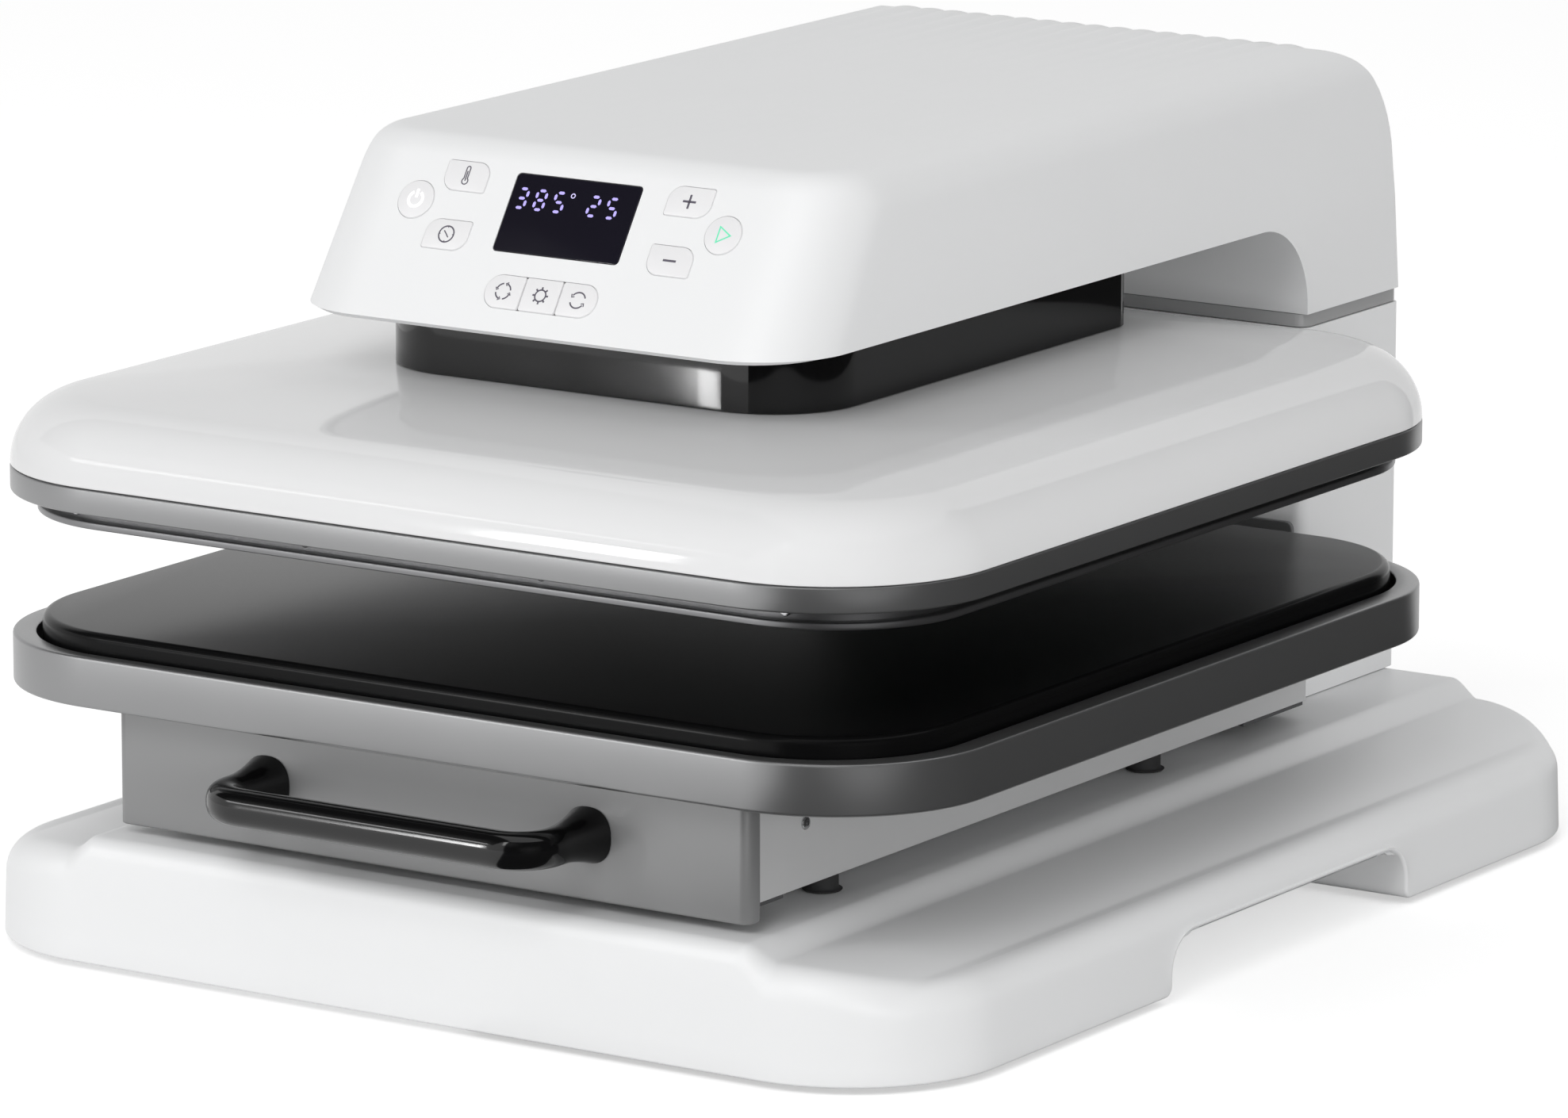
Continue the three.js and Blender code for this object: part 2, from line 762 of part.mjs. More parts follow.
function makeFrontPanel() {
  const bottom = basePlateauHeight + seatGap;
  const outline = [
    [-frontPanelHalfWidth, bottom],
    [frontPanelHalfWidth, bottom],
    ...arcPoints(frontPanelHalfWidth - frontPanelRadius, bottom + frontPanelHeight - frontPanelRadius,
      frontPanelRadius, 0, Math.PI / 2, gripSteps),
    ...arcPoints(-frontPanelHalfWidth + frontPanelRadius, bottom + frontPanelHeight - frontPanelRadius,
      frontPanelRadius, Math.PI / 2, Math.PI, gripSteps),
  ];
  return extrudeY(outline, frontPanelY - frontPanelThickness, frontPanelY);
}

function makePost(side) {
  const bottom = basePlateTop + seatGap;
  const top = framePlateBottom - seatGap;
  const bore = sideBlock(side, postOuterX - postWidth + postWall, postOuterX - postWall,
    postRearY - postDepth + postWall, postRearY - postWall, bottom - cutOverrun, top + cutOverrun);
  return cut(postWindow(side, 0, bottom, top), bore);
}

// Housing: the slanted front face, the level sides and the round back, each drawn in by a wall
const edgeCentreZ = headTop - headEdgeRadius;
const backCentreZ = headTop - headBackRadius;
const backTopY = columnRearY - headBackInset;

function headFrontAt(z, wall = 0) {
  const radius = headEdgeRadius - wall;
  const faceEnd = edgeCentreZ + radius * Math.sin(panelTilt);
  const onFace = headFrontY + (Math.min(z, faceEnd) - headBottom) * Math.tan(panelTilt)
    + wall / Math.cos(panelTilt);
  if (z <= faceEnd) {
    return onFace;
  }
  const centre = onFace + radius * Math.cos(panelTilt);
  return centre - Math.sqrt(Math.max(radius ** 2 - (z - edgeCentreZ) ** 2, 0));
}

function headSideInset(z, wall = 0) {
  const draft = headSideDraft * (Math.min(z, headTop) - headBottom) / headHeight;
  const radius = headEdgeRadius - wall;
  const over = Math.max(z - edgeCentreZ, 0);
  return wall + draft + radius - Math.sqrt(Math.max(radius ** 2 - over ** 2, 0));
}

function headBackAt(z, wall = 0) {
  if (z > backCentreZ) {
    const radius = headBackRadius - wall;
    const drop = Math.sqrt(Math.max(radius ** 2 - (z - backCentreZ) ** 2, 0));
    return backTopY - headBackRadius + drop;
  }
  return backTopY - wall + (columnRearY - backTopY) * (backCentreZ - z) / (backCentreZ - trimTop);
}

function headRing(z, wall, level = z) {
  const inset = headSideInset(z, wall);
  return roundedRing({
    left: -headHalfWidth + inset,
    right: headHalfWidth - inset,
    front: headFrontAt(z, wall),
    rear: headBackAt(z, wall),
    frontRadius: headCornerRadius - inset,
    rearRadius: Math.max(headRearRadius - inset / 2 - wall, headRearLeastRadius),
    z: level,
  });
}

// The posts stand as far back as the round corner above them allows
const postRearY = headBackAt(framePlateTop, headWall) - postRearGap;

const headLevelShares = [0.38, 0.68, 0.86, 0.94, 0.98, 1];

// Below its edge the form runs straight down by an overrun
function headForm(wall, overrun) {
  const arcLevels = headLevelShares.map((share) => edgeCentreZ + share * (headEdgeRadius - wall));
  const levels = [headBottom, backCentreZ + headEdgeRadius, edgeCentreZ, ...arcLevels];
  const rings = levels.map((z) => headRing(z, wall));
  if (overrun > 0) {
    rings.unshift(headRing(headBottom, wall, headBottom - overrun));
  }
  return loft(rings);
}

// Round inner corner where the housing's underside turns down into the column
function throatForm() {
  const centreY = columnFrontY - throatRadius;
  const centreZ = headBottom - throatRadius;
  const innerY = columnFrontY + columnWall;
  const profile = [
    [innerY, centreZ],
    [innerY, headBottom + floorThickness],
    [centreY, headBottom + floorThickness],
    ...arcPoints(centreY, centreZ, throatRadius, Math.PI / 2, 0, throatSteps),
  ];
  return extrudeX(profile, -headHalfWidth, headHalfWidth);
}

function headColumnForm(wall, bottom, top) {
  const ring = (z, level) => roundedRing({
    left: -headHalfWidth + wall,
    right: headHalfWidth - wall,
    front: columnFrontY + wall,
    rear: headBackAt(z, wall),
    frontRadius: columnFrontRadius,
    rearRadius: headRearRadius - wall,
    z: level,
  });
  return loft([ring(trimTop, bottom), ring(headBottom, top)]);
}

// One of the low ribs that run along the roof and fade out down the round back
function roofRib(index) {
  const x = (index - (roofRibCount - 1) / 2) * roofRibPitch;
  const halfWidth = roofRibPitch * roofRibWidthShare / 2;
  const front = headFrontAt(headTop);
  const section = (y, z, turn, height) => [
    [-halfWidth, -headWall / 2],
    [-halfWidth, 0],
    [-halfWidth / 2, height * Math.sqrt(3 / 4)],
    [0, height],
    [halfWidth / 2, height * Math.sqrt(3 / 4)],
    [halfWidth, 0],
    [halfWidth, -headWall / 2],
  ].map(([across, out]) => [x + across, y + out * Math.sin(turn), z + out * Math.cos(turn)]);
  const overBack = roofRibTurns.map((turn, step) => section(
    backTopY - headBackRadius + headBackRadius * Math.sin(turn),
    backCentreZ + headBackRadius * Math.cos(turn),
    turn,
    step + 1 < roofRibTurns.length ? roofRibHeight : 0,
  ));
  return loft([
    section(front, headTop, 0, 0),
    section(front + roofRibFrontSetback, headTop, 0, roofRibHeight),
    ...overBack,
  ]);
}

// Places a tool or a key on the slanted panel: x across, y up the face, z out of it
const panelMatrix = new THREE.Matrix4()
  .makeTranslation(0, headFrontY, headBottom)
  .multiply(new THREE.Matrix4().makeRotationX(Math.PI / 2 - panelTilt));

function onPanel(outline, inner, outer) {
  const geometry = extrude(outline, outer - inner);
  geometry.translate(0, 0, inner);
  return geometry;
}

function panelTool(outline, inner, outer) {
  const geometry = onPanel(outline, inner, outer);
  geometry.applyMatrix4(panelMatrix);
  return solid(geometry);
}

function discOutline(x, y, radius, grow = 0) {
  const ring = arcPoints(x, y, radius + grow, 0, 2 * Math.PI, roundSides);
  return ring.slice(0, -1);
}

// Rounded box outline with its own radius at each corner: lower right, upper right, upper left, lower left
function boxOutline(x, y, halfWidth, halfHeight, radii, grow = 0) {
  const width = halfWidth + grow;
  const height = halfHeight + grow;
  const corners = [[1, -1], [1, 1], [-1, 1], [-1, -1]];
  return corners.flatMap(([sx, sy], index) => {
    const radius = radii[index] + grow;
    const from = (index - 1) * Math.PI / 2;
    return arcPoints(x + sx * (width - radius), y + sy * (height - radius), radius, from,
      from + Math.PI / 2, buttonCurveSteps);
  });
}

const fallingLeaf = [leafPointRadius, leafRoundRadius, leafPointRadius, leafRoundRadius];
const risingLeaf = [leafRoundRadius, leafPointRadius, leafRoundRadius, leafPointRadius];
const pillEnd = pillHalfHeight - buttonGap / 2;
const pillSideHalf = (pillHalfWidth - pillSplitHalfWidth - pillSplitGap) / 2;
const pillSideX = pillHalfWidth - pillSideHalf;

// Every key of the panel: its outline, grown by a clearance where it is used as a cut-out
const keys = {
  power_key: (grow) => discOutline(-roundKeySpacing, roundKeyRise, roundKeyRadius, grow),
  start_key: (grow) => discOutline(roundKeySpacing, roundKeyRise, roundKeyRadius, grow),
  temperature_key: (grow) => boxOutline(-leafSpacing, leafUpperRise, leafHalfWidth, leafHalfHeight,
    fallingLeaf, grow),
  time_key: (grow) => boxOutline(-leafSpacing, leafLowerRise, leafHalfWidth, leafHalfHeight,
    risingLeaf, grow),
  plus_key: (grow) => boxOutline(leafSpacing, leafUpperRise, leafHalfWidth, leafHalfHeight,
    risingLeaf, grow),
  minus_key: (grow) => boxOutline(leafSpacing, leafLowerRise, leafHalfWidth, leafHalfHeight,
    fallingLeaf, grow),
  cycle_key: (grow) => boxOutline(-pillSideX, pillRise, pillSideHalf, pillHalfHeight,
    [leafPointRadius, leafPointRadius, pillEnd, pillEnd], grow),
  settings_key: (grow) => boxOutline(0, pillRise, pillSplitHalfWidth, pillHalfHeight,
    [leafPointRadius, leafPointRadius, leafPointRadius, leafPointRadius], grow),
  auto_key: (grow) => boxOutline(pillSideX, pillRise, pillSideHalf, pillHalfHeight,
    [pillEnd, pillEnd, leafPointRadius, leafPointRadius], grow),
};

const pillFrame = (grow) => boxOutline(0, pillRise, pillHalfWidth, pillHalfHeight,
  [pillEnd, pillEnd, pillEnd, pillEnd], grow);

const displayCut = (grow) => boxOutline(0, displayRise, displayHalfWidth, displayHalfHeight,
  [displayRadius, displayRadius, displayRadius, displayRadius], grow);

const boardCorners = [-1, 1].flatMap((side) => [boardBottomRise, boardTopRise].map((rise) => [
  side * (boardHalfWidth - boardPostInset),
  rise + Math.sign(boardTopRise - rise || -1) * boardPostInset,
]));

function makeHeadShell() {
  let shell = join(headForm(0, 0), throatForm(), headColumnForm(0, trimTop + seatGap,
    headBottom + headWall));
  const hollowColumn = headColumnForm(headWall, trimTop - cutOverrun, headBottom + headEdgeRadius);
  shell = cut(shell, headForm(headWall, cutOverrun).subtract(throatForm()), hollowColumn);
  for (let index = 0; index < roofRibCount; index += 1) {
    shell = join(shell, roofRib(index));
  }
  const depth = headWall + cutOverrun;
  const roundAndLeaf = Object.entries(keys).filter(([name]) => !/cycle|settings|auto/.test(name));
  for (const [, outline] of roundAndLeaf) {
    shell = cut(shell, panelTool(outline(buttonGap), -depth, cutOverrun));
  }
  shell = cut(shell, panelTool(pillFrame(buttonGap), -depth, cutOverrun));
  shell = cut(shell, panelTool(displayCut(buttonGap), -depth, cutOverrun));
  for (const [x, y] of boardCorners) {
    const post = panelTool(discOutline(x, y, boardPostRadius), seatGap - boardDepth, -headWall / 2);
    shell = join(shell, post);
  }
  return shell;
}

function makeHeadFloor() {
  const bottom = headBottom + floorRecess;
  const top = bottom + floorThickness;
  const level = (z) => roundedRing({
    left: -headHalfWidth + headSideInset(top, headWall) + seatGap,
    right: headHalfWidth - headSideInset(top, headWall) - seatGap,
    front: headFrontAt(top, headWall) + seatGap,
    rear: columnFrontY - throatRadius - seatGap,
    frontRadius: headCornerRadius - headSideInset(top, headWall) - seatGap,
    rearRadius: columnFrontRadius,
    z,
  });
  const opening = loft([neckRing(-neckRunGap, bottom - cutOverrun), neckRing(-neckRunGap, top + cutOverrun)]);
  return cut(loft([level(bottom), level(top)]), opening);
}

// Inverted channel that carries the drive out over the platen
function makeHeadFrame() {
  const front = headFrontAt(framePlateTop, headWall) + frameFrontSetback;
  const rear = postRearY;
  const bottom = headBottom + floorRecess + floorThickness + frameFlangeBottomGap;
  const plate = block(-flangeOuterX, flangeOuterX, front, rear, framePlateBottom, framePlateTop);
  const flanges = [-1, 1].map((side) => sideBlock(side, flangeInnerX, flangeOuterX, front, rear, bottom,
    framePlateTop));
  const holes = [-1, 1].map((side) => drum(rodRadius + slideGap, framePlateBottom - cutOverrun,
    framePlateTop + cutOverrun, side * rodSpacing));
  return cut(join(plate, ...flanges), ...holes);
}

function makeMotor() {
  const plan = {
    halfWidth: motorHalfWidth,
    front: -motorHalfDepth,
    rear: motorHalfDepth,
    radius: motorCornerRadius,
  };
  const nose = drum(motorGearboxRadius, motorBottom - motorGearboxDrop, motorBottom + motorGearboxDrop);
  const bore = drum(screwJournalRadius + screwRunGap, motorBottom - motorGearboxDrop - cutOverrun,
    motorBottom + screwJournalLength);
  return cut(join(plateSolid(plan, motorBottom, motorTop), nose), bore);
}

function makeGuideBush(side) {
  const top = framePlateBottom - seatGap;
  const x = side * rodSpacing;
  const sleeve = drum(rodRadius + bushWall, top - bushLength, top, x);
  const bore = drum(rodRadius + rodRunGap, top - bushLength - cutOverrun, top + cutOverrun, x);
  return cut(sleeve, bore);
}

// Pieces that move with the heating head
const platenPlan = {
  halfWidth: platenHalfWidth,
  front: -platenHalfDepth,
  rear: platenHalfDepth,
  radius: platenCornerRadius,
};
const bandPlan = {
  halfWidth: bandHalfWidth,
  front: -bandHalfDepth,
  rear: bandHalfDepth,
  radius: bandCornerRadius,
};

function neckRing(inset, z) {
  return roundedRing({
    left: -neckHalfWidth + inset,
    right: neckHalfWidth - inset,
    front: -neckFrontReach + inset,
    rear: neckRearReach - inset,
    frontRadius: neckCornerRadius - inset,
    rearRadius: Math.max(neckRearRadius - inset, neckWall),
    z,
  });
}

const bossSpots = [[-1, -1], [1, -1], [1, 1], [-1, 1]]
  .map(([sx, sy]) => [sx * bossSpacing, sy * bossRowSpacing]);

function makePlaten() {
  const lipTop = platenUnderside + platenLipHeight;
  const body = loft([
    plateRing(platenPlan, 0, platenUnderside),
    plateRing(platenPlan, 0, lipTop),
    plateRing(platenPlan, platenStepInset, lipTop),
    plateRing(platenPlan, platenStepInset, platenTop),
  ]);
  const bosses = bossSpots.map(([x, y]) => drum(bossRadius, platenTop - platenLipHeight,
    carriagePlateBottom - seatGap, x, y, cornerSteps * 2));
  return join(body, ...bosses);
}

function makePlatenBand() {
  const inner = plateSolid(platenPlan, bandBottom - cutOverrun, bandTop + cutOverrun,
    platenStepInset - bandRunIn);
  return cut(plateSolid(bandPlan, bandBottom, bandTop), inner);
}

// Domed cover: a quarter round shoulder, then a crown that rises to the foot of the neck
function coverForm(wall, bottom) {
  const rings = [plateRing(bandPlan, wall, bottom)];
  for (let step = 0; step <= coverSteps; step += 1) {
    const angle = (step / coverSteps) * Math.PI / 2;
    const radius = coverShoulderRadius - wall;
    const inset = wall + radius - radius * Math.cos(angle);
    rings.push(plateRing(bandPlan, inset, coverBottom + radius * Math.sin(angle)));
  }
  rings.push(neckRing(-neckCoverMargin, coverTop - wall));
  return loft(rings);
}

function makePlatenCover() {
  const shell = cut(coverForm(0, coverBottom - seatGap / 2), coverForm(coverWall, coverBottom - cutOverrun));
  const foot = block(-bandHalfWidth, bandHalfWidth, -bandHalfDepth, bandHalfDepth,
    coverBottom - cutOverrun, coverBottom);
  const opening = loft([
    neckRing(coverOpeningInset, coverTop - coverWall - cutOverrun),
    neckRing(coverOpeningInset, coverTop + cutOverrun),
  ]);
  return cut(shell, foot, opening);
}

function makeNeckSkirt() {
  const outer = loft([neckRing(0, neckBottom), neckRing(0, neckTop)]);
  const well = loft([
    neckRing(neckWall, neckBottom + neckFlangeThickness),
    neckRing(neckWall, neckTop + cutOverrun),
  ]);
  const opening = loft([
    neckRing(neckWall + neckFlangeWidth, neckBottom - cutOverrun),
    neckRing(neckWall + neckFlangeWidth, neckTop + cutOverrun),
  ]);
  return cut(outer, well, opening);
}

// Fixed sleeve inside the skirt, hung from the frame, that closes the neck when the head is down
function makeNeckLiner() {
  const outerInset = neckWall + linerRunGap;
  const innerInset = outerInset + linerWall;
  const bottom = neckBottom + neckFlangeThickness + linerFootGap;
  const flangeBottom = neckTop + linerRise;
  const top = flangeBottom + linerFlangeThickness;
  const middle = (neckRearReach - neckFrontReach) / 2;
  const tube = loft([neckRing(outerInset, bottom), neckRing(outerInset, top)]);
  const flange = block(-postOuterX, postOuterX, middle - linerFlangeHalfDepth, middle + linerFlangeHalfDepth,
    flangeBottom, top);
  const opening = loft([neckRing(innerInset, bottom - cutOverrun), neckRing(innerInset, top + cutOverrun)]);
  return cut(join(tube, flange), opening);
}

function makeCarriagePlate() {
  const inset = neckWall + linerRunGap + linerWall + carriagePlateGap;
  const plate = loft([neckRing(inset, carriagePlateBottom), neckRing(inset, carriagePlateTop)]);
  return cut(plate, drum(plateScrewHoleRadius, carriagePlateBottom - cutOverrun,
    carriagePlateTop + cutOverrun));
}

function makeNut() {
  const bottom = carriagePlateTop + seatGap;
  const flange = drum(nutFlangeRadius, bottom, bottom + nutFlangeThickness);
  const sleeve = drum(nutBodyRadius, bottom, bottom + nutHeight);
  return cut(join(flange, sleeve), drum(screwRadius + screwRunGap, bottom - cutOverrun,
    bottom + nutHeight + cutOverrun));
}

function makeGuideRod(side) {
  const bottom = carriagePlateTop + seatGap;
  return drum(rodRadius, bottom, headTop - headWall - rodRoofGap, side * rodSpacing);
}

// Tubular heater laid back and forth over the platen, between its bosses
function makeHeater() {
  const bend = heaterRunSpacing / 2;
  const firstX = -(heaterRuns - 1) * heaterRunSpacing / 2;
  const route = [];
  for (let run = 0; run < heaterRuns; run += 1) {
    const x = firstX + run * heaterRunSpacing;
    const way = run % 2 === 0 ? 1 : -1;
    route.push([x, -way * heaterRunHalfLength]);
    if (run + 1 < heaterRuns) {
      const turn = arcPoints(x + bend, way * heaterRunHalfLength, bend, Math.PI, 0, heaterBendSteps);
      const placed = turn.map(([px, py]) => [px, way > 0 ? py : 2 * way * heaterRunHalfLength - py]);
      route.push(...placed.slice(0, -1));
    } else {
      route.push([x, way * heaterRunHalfLength]);
    }
  }
  const spots = route.map(([x, y]) => new THREE.Vector3(x, y, heaterCentreZ));
  return barAlong(spots, heaterRadius, heaterRadius, new THREE.Vector3(0, 0, 1), heaterSides);
}

function makeInsulation() {
  const board = plateSolid(platenPlan, insulationBottom, insulationTop, platenStepInset + insulationInset);
  const holes = bossSpots.map(([x, y]) => drum(bossRadius + insulationHoleGap,
    insulationBottom - cutOverrun, insulationTop + cutOverrun, x, y, cornerSteps * 2));
  return cut(board, ...holes);
}

function makeLeadscrew() {
  const journalTop = motorBottom + screwJournalLength - slideGap;
  const shoulder = motorBottom - motorGearboxDrop - slideGap;
  const tip = insulationTop + screwFootGap;
  const profile = [
    [0, tip],
    [screwJournalRadius, tip],
    [screwRadius, tip + screwRadius - screwJournalRadius],
    [screwRadius, shoulder],
    [screwJournalRadius, shoulder],
    [screwJournalRadius, journalTop],
    [0, journalTop],
  ].map(([r, z]) => new THREE.Vector2(r, z));
  const geometry = new THREE.LatheGeometry(profile, roundSides);
  geometry.rotateX(Math.PI / 2);
  return solid(geometry);
}

// Drawer chassis, its mounts and straps
function makeChassis() {
  const outer = block(-chassisHalfWidth, chassisHalfWidth, chassisFrontY, chassisRearY, chassisBottom,
    chassisTop);
  const bay = block(-chassisInnerX, chassisInnerX, chassisFrontY - cutOverrun, chassisRearY - chassisSheet,
    chassisBottom + chassisSheet, chassisTop + cutOverrun);
  return cut(outer, bay);
}

function makeMount(side, y) {
  const bottom = basePlateauHeight + seatGap;
  const top = chassisBottom - seatGap;
  const flare = drum(mountFlangeRadius, bottom, bottom + mountFlangeHeight, side * mountX, y, roundSides,
    mountRadius);
  return join(flare, drum(mountRadius, bottom, top, side * mountX, y));
}

function makeStrap(front, depth) {
  const top = chassisBottom - seatGap;
  const bottom = top - strapThickness;
  const sheet = block(-strapHalfWidth, strapHalfWidth, front, front + depth, bottom, top);
  const screwHoles = [-1, 1].map((side) => drum(strapScrewRadius, bottom - cutOverrun, top + cutOverrun,
    side * (strapHalfWidth - strapScrewInset), front + depth / 2, cornerSteps * 2));
  return cut(sheet, ...screwHoles);
}

// One C-shaped rail: the web stands at one distance, the lips reach to another, nested by a step
function railSection(side, webX, lipX, nest) {
  const inward = Math.sign(lipX - webX);
  const half = railHalfHeight - nest * railNestStep;
  const points = [
    [webX, -half],
    [lipX, -half],
    [lipX, -half + railSheet],
    [webX + inward * railSheet, -half + railSheet],
    [webX + inward * railSheet, half - railSheet],
    [lipX, half - railSheet],
    [lipX, half],
    [webX, half],
  ].map(([x, z]) => [side * x, z + railCentreZ]);
  const front = chassisFrontY + railStartInset;
  return extrudeY(inward * side > 0 ? points : points.reverse(), front, front + railLength);
}

function makeOuterRail(side) {
  return railSection(side, railOuterX, carriageHalfWidth + seatGap + railSheet, 0);
}

function makeMiddleRail(side) {
  const web = railOuterX - railSheet - slideGap;
  return railSection(side, web, carriageHalfWidth + seatGap + railSheet, 1);
}

function makeInnerRail(side) {
  const web = carriageHalfWidth + seatGap;
  return railSection(side, web, railOuterX - 2 * railSheet - 2 * slideGap, 2);
}

// Lower tray with its recess for the pad and a ribbed underside
const trayPlan = {
  halfWidth: trayHalfWidth,
  front: -trayHalfDepth,
  rear: trayHalfDepth,
  radius: trayCornerRadius,
};
const padPlan = {
  halfWidth: padHalfWidth,
  front: -padHalfDepth,
  rear: padHalfDepth,
  radius: padCornerRadius,
};

function makeTray() {
  const body = loft([
    plateRing(trayPlan, trayBevel, trayBottom),
    plateRing(trayPlan, 0, trayBottom + trayBevel),
    plateRing(trayPlan, 0, trayRimTop - trayBevel),
    plateRing(trayPlan, trayBevel, trayRimTop),
  ]);
  const padBottom = padTop - padThickness - seatGap;
  const recess = plateSolid(padPlan, padBottom, trayRimTop + cutOverrun, -padGroove);
  let underside = plateSolid(trayPlan, trayBottom - cutOverrun, padBottom - trayWeb, traySkirt + padGroove);
  const ribHalf = trayRibThickness / 2;
  for (const row of [-1, 0, 1]) {
    const place = row * trayRibSpacing;
    underside = cut(
      underside,
      block(place - ribHalf, place + ribHalf, -trayHalfDepth, trayHalfDepth, trayBottom, padBottom),
      block(-trayHalfWidth, trayHalfWidth, place - ribHalf, place + ribHalf, trayBottom, padBottom),
    );
  }
  return cut(body, recess, underside);
}

function makePad() {
  return loft([
    plateRing(padPlan, 0, padTop - padThickness),
    plateRing(padPlan, 0, padTop - padEdgeRadius),
    plateRing(padPlan, padEdgeRadius - padEdgeRadius * Math.cos(Math.PI / 4),
      padTop - padEdgeRadius + padEdgeRadius * Math.sin(Math.PI / 4)),
    plateRing(padPlan, padEdgeRadius, padTop),
  ]);
}

function makeCarriage() {
  const top = trayBottom - seatGap;
  const bottom = top - carriageDepthBelow;
  const front = frontPlaneY + frontThickness + seatGap;
  const rear = chassisRearY - chassisSheet - carriageRearGap;
  const outer = block(-carriageHalfWidth, carriageHalfWidth, front, rear, bottom, top);
  const inner = carriageHalfWidth - carriageSheet;
  const bay = block(-inner, inner, front + carriageSheet, rear + cutOverrun, bottom - cutOverrun,
    top - carriageSheet);
  return cut(outer, bay);
}

function makeDrawerFront() {
  const plan = {
    halfWidth: frontHalfWidth,
    front: frontPlaneY,
    rear: frontPlaneY + frontThickness,
    radius: frontEdgeRadius,
  };
  return plateSolid(plan, frontBottom, trayBottom - slideGap);
}

function makeHandle() {
  const rootY = frontPlaneY - seatGap;
  const barY = frontPlaneY - handleReach;
  const barZ = handleRootHeight - handleDrop;
  const outward = arcPoints(-handleHalfSpan + handleBendRadius, barY + handleBendRadius, handleBendRadius,
    Math.PI, Math.PI * 3 / 2, handleBendSteps);
  const left = [[-handleHalfSpan, rootY, handleRootHeight]];
  outward.forEach(([x, y]) => {
    const share = (rootY - y) / (rootY - barY);
    left.push([x, y, handleRootHeight - handleDrop * share]);
  });
  const right = left.map(([x, y, z]) => [-x, y, z]).reverse();
  const route = [...left, ...right].map(([x, y, z]) => new THREE.Vector3(x, y, z));
  const rake = new THREE.Vector3(0, barZ - handleRootHeight, handleReach).normalize();
  const bar = barAlong(route, handleHalfThickness, handleHalfHeight, rake, handleSides);
  const trim = block(-baseHalfWidth, baseHalfWidth, rootY, rootY + cutOverrun, 0, headTop);
  return cut(bar, trim);
}

// Control panel pieces, in the panel's own frame
function makeKey(outline) {
  const cap = solid(onPanel(outline(0), -buttonCapDepth, buttonProud));
  const flangeTop = -headWall - seatGap;
  const flange = solid(onPanel(outline(buttonFlangeWidth), flangeTop - buttonFlangeThickness, flangeTop));
  return join(cap, flange);
}

// The three keys of the row under the display lie side by side, so their flanges stay above and below
function makeRowKey(outline) {
  const cap = solid(onPanel(outline(0), -buttonCapDepth, buttonProud));
  const flangeTop = -headWall - seatGap;
  const wide = outline(0).map(([x, y]) => [x, pillRise + (y - pillRise)
    * (pillHalfHeight + buttonGap + buttonFlangeWidth) / pillHalfHeight]);
  return join(cap, solid(onPanel(wide, flangeTop - buttonFlangeThickness, flangeTop)));
}

function makeDisplayLens() {
  const lens = solid(onPanel(displayCut(0), -displayThickness, 0));
  const rimTop = -headWall - seatGap;
  const well = solid(onPanel(displayCut(0), rimTop - displayThickness, -displayThickness / 2));
  const rim = solid(onPanel(displayCut(buttonGap + buttonFlangeWidth), rimTop - displayThickness, rimTop));
  return join(lens, well, rim);
}

function makeControlBoard() {
  const outline = [
    [-boardHalfWidth, boardBottomRise],
    [boardHalfWidth, boardBottomRise],
    [boardHalfWidth, boardTopRise],
    [-boardHalfWidth, boardTopRise],
  ];
  return solid(onPanel(outline, -boardDepth - boardThickness, -boardDepth));
}

// Mains inlet module: a flange, a socket with three blades and a pocket for the rocker
function makeInlet() {
  const face = columnRearY + seatGap;
  const back = face + inletFlangeThickness;
  const radii = [inletRadius, inletRadius, inletRadius, inletRadius];
  const flange = extrudeY(boxOutline(0, inletCentreZ, inletHalfWidth, inletHalfHeight, radii), face, back);
  const body = block(-inletHalfWidth + inletBodyMargin, inletHalfWidth - inletBodyMargin,
    back - inletBodyDepth, face + inletFlangeThickness / 2, inletCentreZ - inletHalfHeight + inletBodyMargin,
    inletCentreZ + inletHalfHeight - inletBodyMargin);
  const socketZ = inletCentreZ - socketDrop;
  const socket = block(-socketHalfWidth, socketHalfWidth, back - socketDepth, back + cutOverrun,
    socketZ - socketHalfHeight, socketZ + socketHalfHeight);
  const rockerZ = inletCentreZ + rockerRise;
  const pocket = block(-rockerHalfWidth - rockerGap, rockerHalfWidth + rockerGap,
    back - rockerDepth - rockerPeak - rockerGap, back + cutOverrun, rockerZ - rockerHalfHeight - rockerGap,
    rockerZ + rockerHalfHeight + rockerGap);
  const pins = [-1, 0, 1].map((row) => block(row * socketPinSpacing - socketPinHalfWidth,
    row * socketPinSpacing + socketPinHalfWidth, back - socketDepth - rockerGap,
    back - socketDepth + socketPinLength, socketZ - socketPinHalfHeight + (row ? 0 : socketPinStagger / 2),
    socketZ + socketPinHalfHeight + (row ? 0 : socketPinStagger / 2)));
  return join(cut(join(flange, body), socket, pocket), ...pins);
}

const rockerPivotY = columnRearY + seatGap + inletFlangeThickness - rockerDepth / 2;
const rockerPivotZ = inletCentreZ + rockerRise;
const rockerTilt = THREE.MathUtils.degToRad(rockerSwing / 2);
const rockerTipHeight = rockerHalfHeight - rockerPeak / 2;
const rockerTipY = rockerPivotY + rockerDepth / 2 * Math.cos(rockerTilt)
  + rockerTipHeight * Math.sin(rockerTilt);

// Rocker about its own pivot: a shallow peak in front, so that one half stands out
function makeRocker() {
  const profile = [
    [-rockerDepth / 2, -rockerTipHeight / 2],
    [rockerDepth / 2, -rockerTipHeight],
    [rockerDepth / 2 - rockerPeak, 0],
    [rockerDepth / 2, rockerTipHeight],
    [-rockerDepth / 2, rockerTipHeight / 2],
  ];
  return extrudeX(profile, -rockerHalfWidth, rockerHalfWidth);
}

